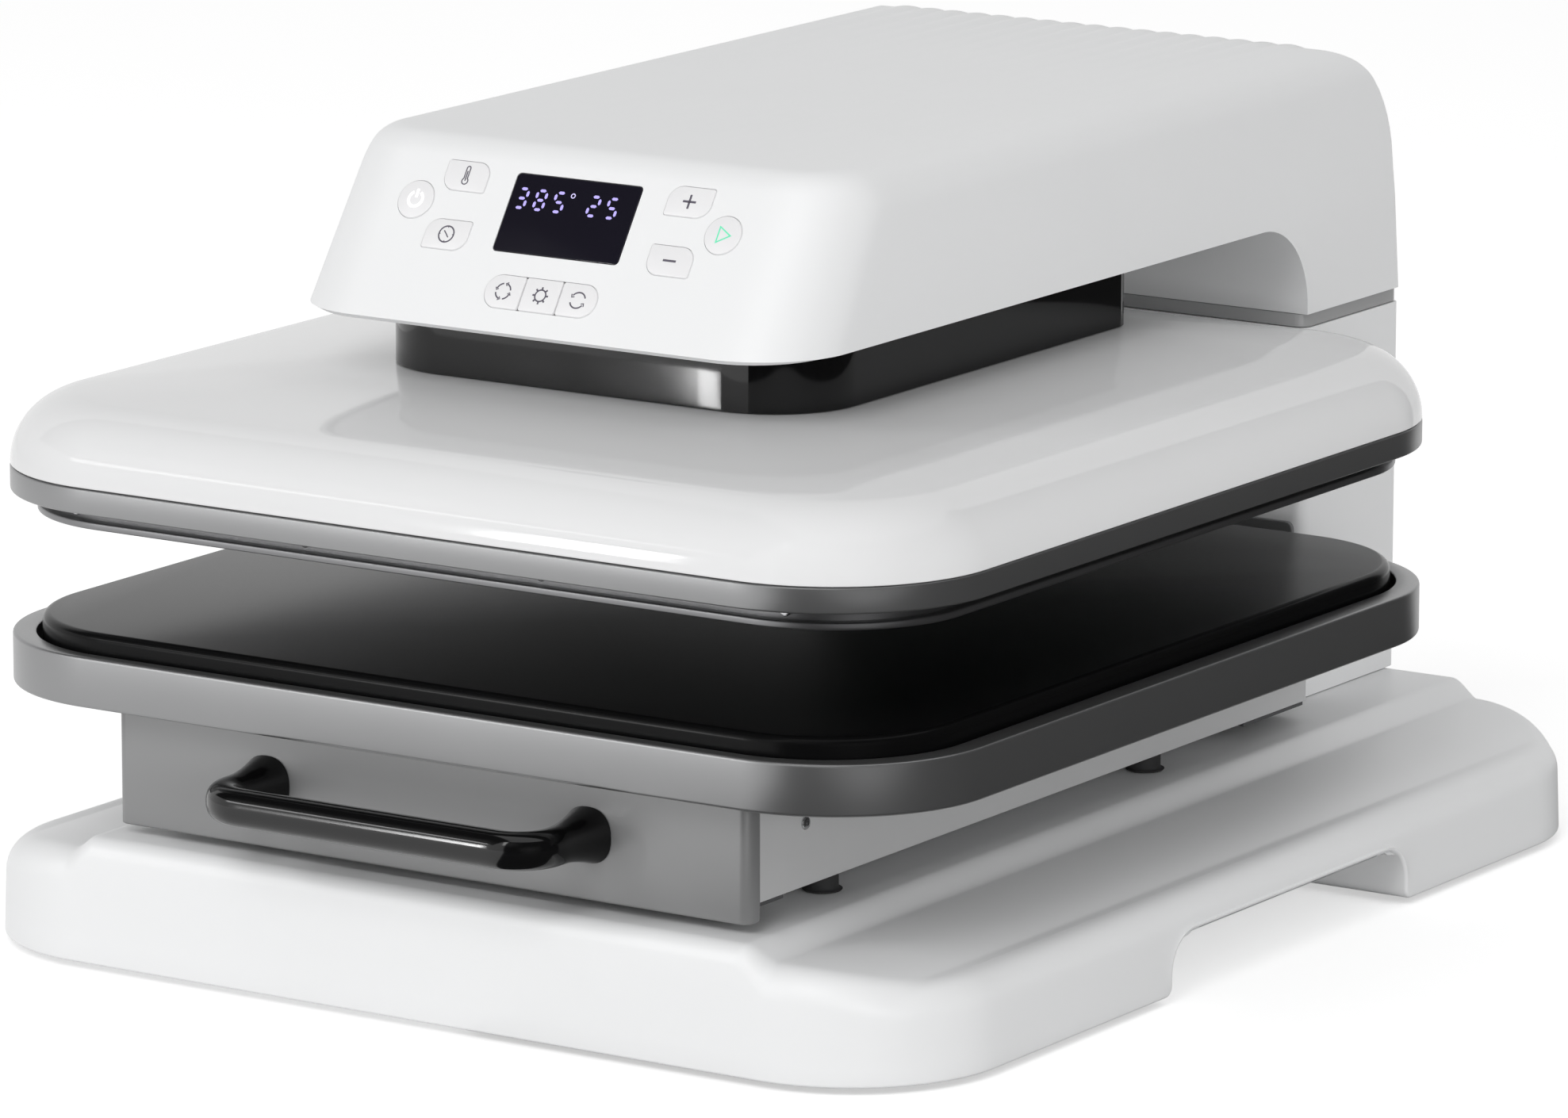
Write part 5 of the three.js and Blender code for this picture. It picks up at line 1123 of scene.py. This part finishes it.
class HEATPRESS_OT_tray(bpy.types.Operator):
    """Lower tray with its rim and groove, and the silicone pad in it"""

    bl_idname = "heat_press.tray"
    bl_label = "Tray and pad"

    def execute(self, context):
        s = settings("plates")
        plan = plate_plan("drawer_tray", s.tray_corner)
        low, high = span("drawer_tray", 2)
        pad_low, pad_high = span("press_pad", 2)
        e, floor = s.tray_bevel, pad_low - 0.3 * MM
        web = floor - 3.6 * MM
        pad = plate_plan("press_pad", s.pad_corner)
        below = plan.rings([(s.tray_skirt, web), (s.tray_skirt, low + 0.5 * MM),
                            (s.tray_skirt - 0.5 * MM, low), *rounded_rim(low, high, e, 5)])
        rim = 0.6 * MM
        above = pad.rings([*arc(-s.pad_groove - rim, high - rim, rim, QUARTER, 0, 3),
                           (-s.pad_groove, floor)])
        piece("tray_casting", skin(np.concatenate([below, above]), start=True, end=True), "drawer",
              "plate coat", ["drawer_tray"])
        edge = s.pad_edge
        profile = [(0.5 * MM, pad_low), (0, pad_low + 0.5 * MM),
                   *arc(edge, pad_high - edge, edge, math.pi, QUARTER, 8)]
        piece("silicone_pad", skin(pad.rings(profile), start=True, end=True), "drawer",
              "pad silicone", ["press_pad"])
        return {"FINISHED"}


class HEATPRESS_OT_drawer(bpy.types.Operator):
    """Painted drawer front and the sheet carriage behind it"""

    bl_idname = "heat_press.drawer"
    bl_label = "Drawer front"

    def execute(self, context):
        s = settings("plates")
        plan = plate_plan("drawer_front", s.front_edge)
        rings = plan.rings(rounded_rim(*span("drawer_front", 2), BAND_EDGE))
        piece("drawer_panel", skin(rings, start=True, end=True), "drawer",
              "front paint", ["drawer_front"])
        dressed_copy("drawer_carrier", "drawer_carriage", "sheet steel", 0.4 * MM)
        return {"FINISHED"}


class HEATPRESS_OT_handle(bpy.types.Operator):
    """Glossy bow handle of the drawer with flared roots"""

    bl_idname = "heat_press.handle"
    bl_label = "Handle"

    def execute(self, context):
        s = settings("plates")
        root = span("drawer_front", 1)[0] - 0.3 * MM
        bar = span("drawer_front", 1)[0] - s.handle_reach
        high = (span("drawer_handle", 2)[0] + span("drawer_handle", 2)[1]) / 2 - 0.6 * MM
        bend, half = s.handle_bend, s.handle_span
        straight = np.linspace(root, bar + bend, 9)[:-1]
        corner = arc(-half + bend, bar + bend, bend, math.pi, 3 * QUARTER, 14)
        left = np.concatenate([np.column_stack([np.full(8, -half), straight]), corner])
        middle = np.column_stack([np.linspace(-half + bend, half - bend, 33)[1:-1], np.full(31, bar)])
        flat = np.concatenate([left, middle, left[::-1] * (-1, 1)])
        path = np.column_stack([flat, np.full(len(flat), high)])
        out = (root - flat[:, 1]) / (root - bar)
        flare = 1 + 0.5 * np.clip(1 - out / 0.5, 0, 1) ** 1.6
        halfs = np.stack([s.handle_thick * flare, s.handle_tall * flare], -1)
        rings = along_path(path, halfs, np.array((0, 0, 1)), 36, 0.85)
        rings[0, :, 1] = rings[-1, :, 1] = root
        piece("bow_handle", skin(rings, start=True, end=True), "drawer", "gloss black",
              ["drawer_handle"])
        return {"FINISHED"}


class HEATPRESS_OT_chassis(bpy.types.Operator):
    """Chassis box under the tray with its mounts, straps and rails"""

    bl_idname = "heat_press.chassis"
    bl_label = "Chassis"

    def execute(self, context):
        dressed_copy("chassis_box", "slide_chassis", "chassis paint", 0.5 * MM)
        for end in ("front", "rear"):
            dressed_copy("cross_strap_" + end, "chassis_strap_" + end, "dark sheet",
                         0.3 * MM)
            for side in ("left", "right"):
                mount = f"chassis_mount_{end}_{side}"
                (x0, x1), (z0, z1) = span(mount, 0), span(mount, 2)
                r, waist, e = (x1 - x0) / 2, 5.7 * MM, 0.4 * MM
                flare = arc(waist + 1.4 * MM, z0 + 2 * MM, 1.4 * MM, math.pi + QUARTER, math.pi, 6)
                rubber_piece(mount, [(e, z0), (r - e, z0), (r, z0 + e), *flare, (waist, z1 - e),
                                     (waist - e, z1), (e, z1)])
        for kind in ("outer", "middle", "inner"):
            for side in ("left", "right"):
                dressed_copy(f"slide_{kind}_{side}", f"rail_{kind}_{side}", "machined steel",
                             0.3 * MM)
        return {"FINISHED"}


def panel_solid(outline, profile):
    """A closed piece on the slanted face: rings of an outline grown and raised by (grow, height)."""
    rings = np.stack([on_panel(outline(grow), height) for grow, height in profile])
    return skin(rings, start=True, end=True)


class HEATPRESS_OT_display(bpy.types.Operator):
    """Dark display glass with its lit figures"""

    bl_idname = "heat_press.display"
    bl_label = "Display"

    def execute(self, context):
        e = 0.25 * MM
        flange = 1.6 * MM
        profile = [(flange, KEY_FOOT), (flange, KEY_FLANGE_TOP), (0, KEY_FLANGE_TOP),
                   *arc(-e, -e, e, 0, QUARTER, 3)]
        piece("display_glass", panel_solid(display_outline, profile), "press_frame", "display glass",
              ["display_lens"])
        p = settings("panel")
        size = p.digit_height
        rise = display_outline()[:, 1].mean() + 2 * MM
        digits = zip(f"{p.temperature:03d}{p.seconds:02d}", DIGIT_PLACES)
        parts = [figure(int(digit), x, rise, size) for digit, x in digits]
        piece("display_figures", together(*parts), "press_frame", "figure")
        ring = arc(-0.9 * MM, rise + size - 0.6 * MM, 0.8 * MM, 0, FULL_TURN, 20)
        piece("display_degree", ribbon(ring[:-1], 0.35 * MM, 0.02 * MM, closed=True), "press_frame",
              "figure dim")
        return {"FINISHED"}


SEGMENTS = {0: "abcdef", 1: "bc", 2: "abged", 3: "abgcd", 4: "fgbc", 5: "afgcd", 6: "afgedc",
            7: "abc", 8: "abcdefg", 9: "abcdfg"}


def figure(digit, x, y, size):
    """One seven-bar figure: each bar a hexagon, leaning by the slant times its height."""
    p = settings("panel")
    wide, bar = size * 0.53, size * 0.15
    half = size / 2
    lines = {
        "a": ((0, size), (wide, size)), "b": ((wide, size), (wide, half)),
        "c": ((wide, half), (wide, 0)), "d": ((0, 0), (wide, 0)), "e": ((0, half), (0, 0)),
        "f": ((0, size), (0, half)), "g": ((0, half), (wide, half)),
    }
    parts = []
    for name in SEGMENTS[digit]:
        start, end = (np.array(point, float) for point in lines[name])
        way = (end - start) / np.linalg.norm(end - start)
        side = np.array([-way[1], way[0]]) * bar / 2
        a, b = start + way * bar * 0.55, end - way * bar * 0.55
        outline = np.array([a, a + way * bar / 2 - side, b - way * bar / 2 - side, b,
                            b - way * bar / 2 + side, a + way * bar / 2 + side])
        outline[:, 0] += x + outline[:, 1] * p.digit_slant
        outline[:, 1] += y
        parts.append(skin(np.stack([on_panel(outline, 0.0), on_panel(outline, 0.04 * MM)]),
                          start=True, end=True))
    return together(*parts)


def ribbon(path, width, height, closed=False, level=0.0):
    """A flat strip along a path on the slanted face: the path moved to each side by half the width
    along its normal, from just under the level to the height above it."""
    path = np.asarray(path, float)
    if closed:
        way = np.roll(path, -1, 0) - np.roll(path, 1, 0)
    else:
        way = np.gradient(path, axis=0)
    way /= np.linalg.norm(way, axis=1, keepdims=True)
    side = np.stack([way[:, 1], -way[:, 0]], -1) * width / 2
    under, over = level - 0.05 * MM, level + height
    rings = np.stack([on_panel(path + side, under), on_panel(path + side, over),
                      on_panel(path - side, over), on_panel(path - side, under)], 1)
    return skin(rings, around=closed, start=not closed, end=not closed)


def key_marks(name, level, x, y):
    """Strips that draw a key's mark, in millimetres round the key's middle."""
    w = settings("panel").stroke

    def strip(points, closed=False, width=w):
        return ribbon(np.array(points) * MM + (x, y), width, 0.05 * MM, closed, level)

    def ring(radius, start=0.0, end=360.0, steps=40):
        path = arc(0, 0, radius, math.radians(start), math.radians(end), steps)
        return path[:-1] if end - start >= 360 else path

    def arrow(turn, ahead, behind, reach, width):
        a = math.radians(turn)
        points = ((3.0 - reach, a - behind), (3.0, a + ahead), (3.0 + reach, a - behind))
        return strip([(radius * math.cos(b), radius * math.sin(b)) for radius, b in points], width=width)

    if name == "power":
        return [strip(ring(2.9, 120, 420), width=2 * w), strip([(0, 0.6), (0, 3.9)], width=2 * w)]
    if name == "start":
        return [strip([(-1.9, -3.0), (3.1, 0), (-1.9, 3.0)], True, 1.9 * w)]
    if name == "temperature":
        tube = [(-0.75, -0.9), *arc(0, 3.0, 0.75, math.pi, 0, 8), (0.75, -0.9),
                *arc(0, -2.0, 1.25, 0.93, -math.pi - 0.93, 18)]
        return [strip(tube, True, 0.8 * w), strip([(0, -1.9), (0, 1.9)], width=0.9 * w)]
    if name == "time":
        return [strip(ring(3.1), True), strip([(-1.3, 1.3), (0, 0), (1.1, -1.2)], width=0.8 * w),
                *[strip([(2.5 * math.cos(a), 2.5 * math.sin(a)), (3.0 * math.cos(a), 3.0 * math.sin(a))],
                        width=0.6 * w) for a in np.arange(0, FULL_TURN, QUARTER)]]
    if name == "plus":
        return [strip([(-2.7, 0), (2.7, 0)], width=1.5 * w), strip([(0, -2.7), (0, 2.7)], width=1.5 * w)]
    if name == "minus":
        return [strip([(-2.7, 0), (2.7, 0)], width=1.5 * w)]
    if name == "cycle":
        return [strip(ring(3.0, start, start + 62, 12)) for start in (12, 102, 192, 282)] + [
            arrow(turn, 0.18, 0.1, 0.7, 0.7 * w) for turn in (74, 164, 254, 344)]
    if name == "settings":
        teeth = [(math.cos(a), math.sin(a)) for a in np.arange(8) * math.pi / 4]
        return [strip(ring(2.2), True)] + [
            strip([(2.4 * c, 2.4 * n), (3.3 * c, 3.3 * n)], width=1.2 * w) for c, n in teeth]
    parts = []
    for start in (20, 200):
        parts += [strip(ring(3.0, start, start + 125, 24)), arrow(start + 130, 0.2, 0.08, 0.8, 0.8 * w)]
    return parts


class HEATPRESS_OT_keys(bpy.types.Operator):
    """Nine key caps with their marks"""

    bl_idname = "heat_press.keys"
    bl_label = "Keys"

    def execute(self, context):
        p = settings("panel")
        lit = {"power": "mark lit white", "start": "mark lit green"}
        for name in KEY_NAMES:
            x, y = key_middle(name)
            e, top = 0.35 * MM, p.proud
            wide = 0.0 if name in ("cycle", "settings", "auto") else 1.2 * MM
            profile = [(0, KEY_FOOT), (0, -4.7 * MM), (wide, -4.7 * MM), (wide, KEY_FLANGE_TOP),
                       (0, KEY_FLANGE_TOP), (0, -0.5 * MM), (p.seam / 2, -0.4 * MM),
                       (p.seam / 2, -0.1 * MM), (0, 0), *arc(-e, top - e, e, 0, QUARTER, 4)]
            body = name + "_key_body"
            piece(name + "_cap", panel_solid(partial(key_outline, name), profile),
                  body, "key cap", [name + "_key"])
            piece(name + "_mark", together(*key_marks(name, top, x, y)), body, lit.get(name, "mark"))
        return {"FINISHED"}


class HEATPRESS_OT_inlet(bpy.types.Operator):
    """Mains inlet with its rocker switch on the back of the column"""

    bl_idname = "heat_press.inlet"
    bl_label = "Mains inlet"

    def execute(self, context):
        dressed_copy("inlet_module", "mains_inlet", "motor black", 0.3 * MM)
        dressed_copy("inlet_rocker", "mains_rocker", "gloss black", 0.5 * MM, 3)
        return {"FINISHED"}


class HEATPRESS_OT_screws(bpy.types.Operator):
    """Small screws in the platen's groove and on the chassis side"""

    bl_idname = "heat_press.screws"
    bl_label = "Screws"

    def execute(self, context):
        lip = span("heating_platen", 2)[0] + settings("plates").platen_lip
        front = span("heating_platen", 1)[0] + settings("plates").platen_step
        side = span("heating_platen", 0)[1] - settings("plates").platen_step
        heads = [self.head((x, front, lip + 3 * MM), (0, -1, 0), 2 * MM, 0.9 * MM)
                 for x in PLATEN_SCREWS_ACROSS]
        heads += [self.head((side, y, lip + 3 * MM), (1, 0, 0), 2 * MM, 0.9 * MM)
                  for y in PLATEN_SCREWS_ALONG]
        piece("platen_screws", together(*heads), "heat_head", "screw steel")
        wall = span("slide_chassis", 0)[1]
        heads = [self.head((sign * wall, y, CHASSIS_SCREW_HEIGHT), (sign, 0, 0), 2.4 * MM, 1.1 * MM)
                 for sign in (-1, 1) for y in CHASSIS_SCREWS_ALONG]
        piece("chassis_screws", together(*heads), "press_frame", "screw steel")
        return {"FINISHED"}

    def head(self, place, way, radius, tall):
        """A round screw head with a plain round recess: rings of a profile of (radius, height)."""
        way = np.array(way, float)
        across = np.cross(way, (0, 0, 1.0))
        turn = np.linspace(0, FULL_TURN, 20, endpoint=False)
        flat = np.outer(np.cos(turn), across) + np.outer(np.sin(turn), (0, 0, 1.0))
        profile = [(radius, -0.3 * MM), (radius, 0.4 * tall), (0.86 * radius, 0.8 * tall),
                   (0.55 * radius, tall), (0.35 * radius, tall), (0.3 * radius, 0.4 * tall)]
        rings = np.stack([np.array(place) + flat * size + way * out for size, out in profile])
        return skin(rings, start=True, end=True)


class HEATPRESS_OT_inner_parts(bpy.types.Operator):
    """Finishes of the drive, frame, heater and board inside"""

    bl_idname = "heat_press.inner_parts"
    bl_label = "Inner parts"

    def execute(self, context):
        finishes = {
            "post_left": "sheet steel", "post_right": "sheet steel", "head_frame": "sheet steel",
            "neck_liner": "motor black", "drive_motor": "motor black", "guide_bush_left": "bronze",
            "guide_bush_right": "bronze", "carriage_plate": "sheet steel", "screw_nut": "bronze",
            "heating_element": "machined steel", "insulation_board": "mineral board",
            "guide_rod_left": "machined steel", "guide_rod_right": "machined steel",
            "leadscrew": "machined steel", "control_board": "board green",
        }
        for name, finish in finishes.items():
            paint_node(name, finish)
        return {"FINISHED"}


# Studio
def lamp(name, place, aim, size, level):
    """A soft lamp of a width and height, whose light on a face turned to it is that share of white."""
    data = bpy.data.lights.new(name, "AREA")
    data.shape = "RECTANGLE"
    data.size, data.size_y = size
    way = Vector(aim) - Vector(place)
    data.energy = level * math.pi ** 2 * way.length_squared
    obj = bpy.data.objects.new(name, data)
    obj.location = place
    obj.rotation_euler = way.to_track_quat("-Z", "Y").to_euler()
    bpy.context.scene.collection.objects.link(obj)


def sheet(name, points, finish):
    """A stage piece over rows of points."""
    vertices, faces = grid(points)
    mesh = bpy.data.meshes.new(name)
    mesh.from_pydata(vertices.tolist(), [], faces)
    mesh.materials.append(finish)
    obj = bpy.data.objects.new(name, mesh)
    bpy.context.scene.collection.objects.link(obj)
    return obj


def flag(name, points):
    """A dark sheet that only gloss sees."""
    obj = sheet(name, points, material("flag"))
    obj.visible_camera = obj.visible_diffuse = obj.visible_shadow = False
    obj.visible_transmission = False


def rows_between(first, second, third):
    """Rows of points of a flat sheet: a corner, the corner along it and the corner across it."""
    first, second, third = (np.array(corner, float) for corner in (first, second, third))
    u, v = np.meshgrid(even(12), even(6))
    return first + u[..., None] * (second - first) + v[..., None] * (third - first)


def fence_rows(start, end):
    """Rows of points of a flag on the floor whose outer edge stands up, between two directions."""
    turn = np.radians(np.linspace(start, end, 31))
    return np.stack([np.column_stack([radius * np.sin(turn), -radius * np.cos(turn),
                                      np.full(len(turn), height)]) for radius, height in FENCE_PROFILE])


def emptied(holder):
    """Turns a world's or material's nodes on, and gives its tree without any."""
    holder.use_nodes = True
    holder.node_tree.nodes.clear()
    return holder.node_tree


def larger(tree, first, second):
    """The larger of two sockets' values."""
    made = tree.nodes.new("ShaderNodeMath")
    made.operation = "MAXIMUM"
    tree.links.new(first, made.inputs[0])
    tree.links.new(second, made.inputs[1])
    return made.outputs[0]


def seen_ray(tree):
    """1 for rays from the camera, from gloss and through glass, and 0 for diffuse light."""
    path = tree.nodes.new("ShaderNodeLightPath").outputs
    shown = larger(tree, path["Is Camera Ray"], path["Is Glossy Ray"])
    return larger(tree, shown, path["Is Transmission Ray"])


def place_camera(lens):
    back = Vector((math.sin(CAMERA_AZIMUTH) * math.cos(CAMERA_ELEVATION),
                   -math.cos(CAMERA_AZIMUTH) * math.cos(CAMERA_ELEVATION),
                   math.sin(CAMERA_ELEVATION)))
    data = bpy.data.cameras.new("camera")
    data.lens, data.sensor_width = lens, SENSOR_WIDTH
    data.shift_x, data.shift_y = CAMERA_SHIFT
    data.clip_start, data.clip_end = 0.1, 200
    camera = bpy.data.objects.new("camera", data)
    camera.location = Vector(to_frame(CAMERA_PLACE))
    camera.rotation_euler = (-back).to_track_quat("-Z", "Y").to_euler()
    bpy.context.scene.collection.objects.link(camera)
    bpy.context.scene.camera = camera


def white_world(ambient):
    """A world that lights at the ambient level and is seen as plain white."""
    world = bpy.data.worlds.new("world")
    bpy.context.scene.world = world
    tree = emptied(world)
    light, seen = (node(tree, "ShaderNodeBackground", Color=(1, 1, 1, 1), Strength=strength)
                   for strength in (ambient, 1.0))
    mix = tree.nodes.new("ShaderNodeMixShader")
    tree.links.new(seen_ray(tree), mix.inputs[0])
    tree.links.new(light.outputs[0], mix.inputs[1])
    tree.links.new(seen.outputs[0], mix.inputs[2])
    out = tree.nodes.new("ShaderNodeOutputWorld")
    tree.links.new(mix.outputs[0], out.inputs[0])


def floor_finish(lift_level):
    """A matt white that keeps shadows, with white added to what is seen of it."""
    made = bpy.data.materials.new("floor white")
    tree = emptied(made)
    place = tree.nodes.new("ShaderNodeTexCoord").outputs["Object"]
    cloud = node(tree, "ShaderNodeTexNoise", Vector=place, Scale=3.0)
    tone = node(tree, "ShaderNodeMapRange", Value=cloud.outputs["Fac"], To_Min=0.83, To_Max=0.85)
    matt = node(tree, "ShaderNodeBsdfDiffuse", Color=tone.outputs[0])
    lift = node(tree, "ShaderNodeMath", Value=lift_level)
    lift.operation = "MULTIPLY"
    tree.links.new(seen_ray(tree), lift.inputs[1])
    glow = node(tree, "ShaderNodeEmission", Strength=lift.outputs[0])
    both = tree.nodes.new("ShaderNodeAddShader")
    tree.links.new(matt.outputs[0], both.inputs[0])
    tree.links.new(glow.outputs[0], both.inputs[1])
    out = tree.nodes.new("ShaderNodeOutputMaterial")
    tree.links.new(both.outputs[0], out.inputs[0])
    return made


class HEATPRESS_OT_studio(bpy.types.Operator):
    """Camera, floor, backdrop and lamps"""

    bl_idname = "heat_press.studio"
    bl_label = "Studio"

    def execute(self, context):
        s = settings("studio")
        context.scene.view_settings.view_transform = "Standard"
        place_camera(s.lens)
        for name, way, distance, size, level in LAMPS:
            place = LAMP_AIM + Vector(way).normalized() * distance
            lamp(name, place, LAMP_AIM, size, getattr(s, level))
        flag("side_flag", fence_rows(FENCE_START, FENCE_END))
        flag("high_flag", rows_between(*HIGH_FLAG_CORNERS))
        white_world(s.ambient)
        reach = np.linspace(-FLOOR_REACH, FLOOR_REACH, 41)
        x, y = np.meshgrid(reach, reach)
        sheet("floor", np.stack([x, y, 0 * x], -1), floor_finish(s.floor_lift))
        return {"FINISHED"}


PROPERTY_GROUPS = {
    "shells": HeatPressShellSizes,
    "plates": HeatPressPlateSizes,
    "panel": HeatPressPanelSizes,
    "colours": HeatPressColours,
    "studio": HeatPressStudio,
}

OPERATORS = (
    HEATPRESS_OT_base, HEATPRESS_OT_feet, HEATPRESS_OT_column, HEATPRESS_OT_housing,
    HEATPRESS_OT_neck, HEATPRESS_OT_cover, HEATPRESS_OT_platen, HEATPRESS_OT_tray,
    HEATPRESS_OT_drawer, HEATPRESS_OT_handle, HEATPRESS_OT_chassis, HEATPRESS_OT_display,
    HEATPRESS_OT_keys, HEATPRESS_OT_inlet, HEATPRESS_OT_screws, HEATPRESS_OT_inner_parts,
    HEATPRESS_OT_studio,
)


class HEATPRESS_PT_panel(bpy.types.Panel):
    """Lists the steps that build the press and the sizes and colours they use"""

    bl_idname = "HEATPRESS_PT_panel"
    bl_label = "Heat Press"
    bl_space_type = "VIEW_3D"
    bl_region_type = "UI"
    bl_category = "Heat Press"

    def draw(self, context):
        column = self.layout.column(align=True)
        for operator in OPERATORS:
            column.operator(operator.bl_idname)
        for name, group in PROPERTY_GROUPS.items():
            box = self.layout.box()
            values = settings(name)
            for key in group.__annotations__:
                box.prop(values, key)


CLASSES = (*PROPERTY_GROUPS.values(), *OPERATORS, HEATPRESS_PT_panel)


def register():
    for made in CLASSES:
        bpy.utils.register_class(made)
    for name, group in PROPERTY_GROUPS.items():
        setattr(bpy.types.Scene, "heat_press_" + name, PointerProperty(type=group))


def unregister():
    for name in PROPERTY_GROUPS:
        delattr(bpy.types.Scene, "heat_press_" + name)
    for made in reversed(CLASSES):
        bpy.utils.unregister_class(made)


def main():
    register()
    for operator in OPERATORS:
        group, name = operator.bl_idname.split(".")
        getattr(getattr(bpy.ops, group), name)()


if __name__ == "__main__":
    main()
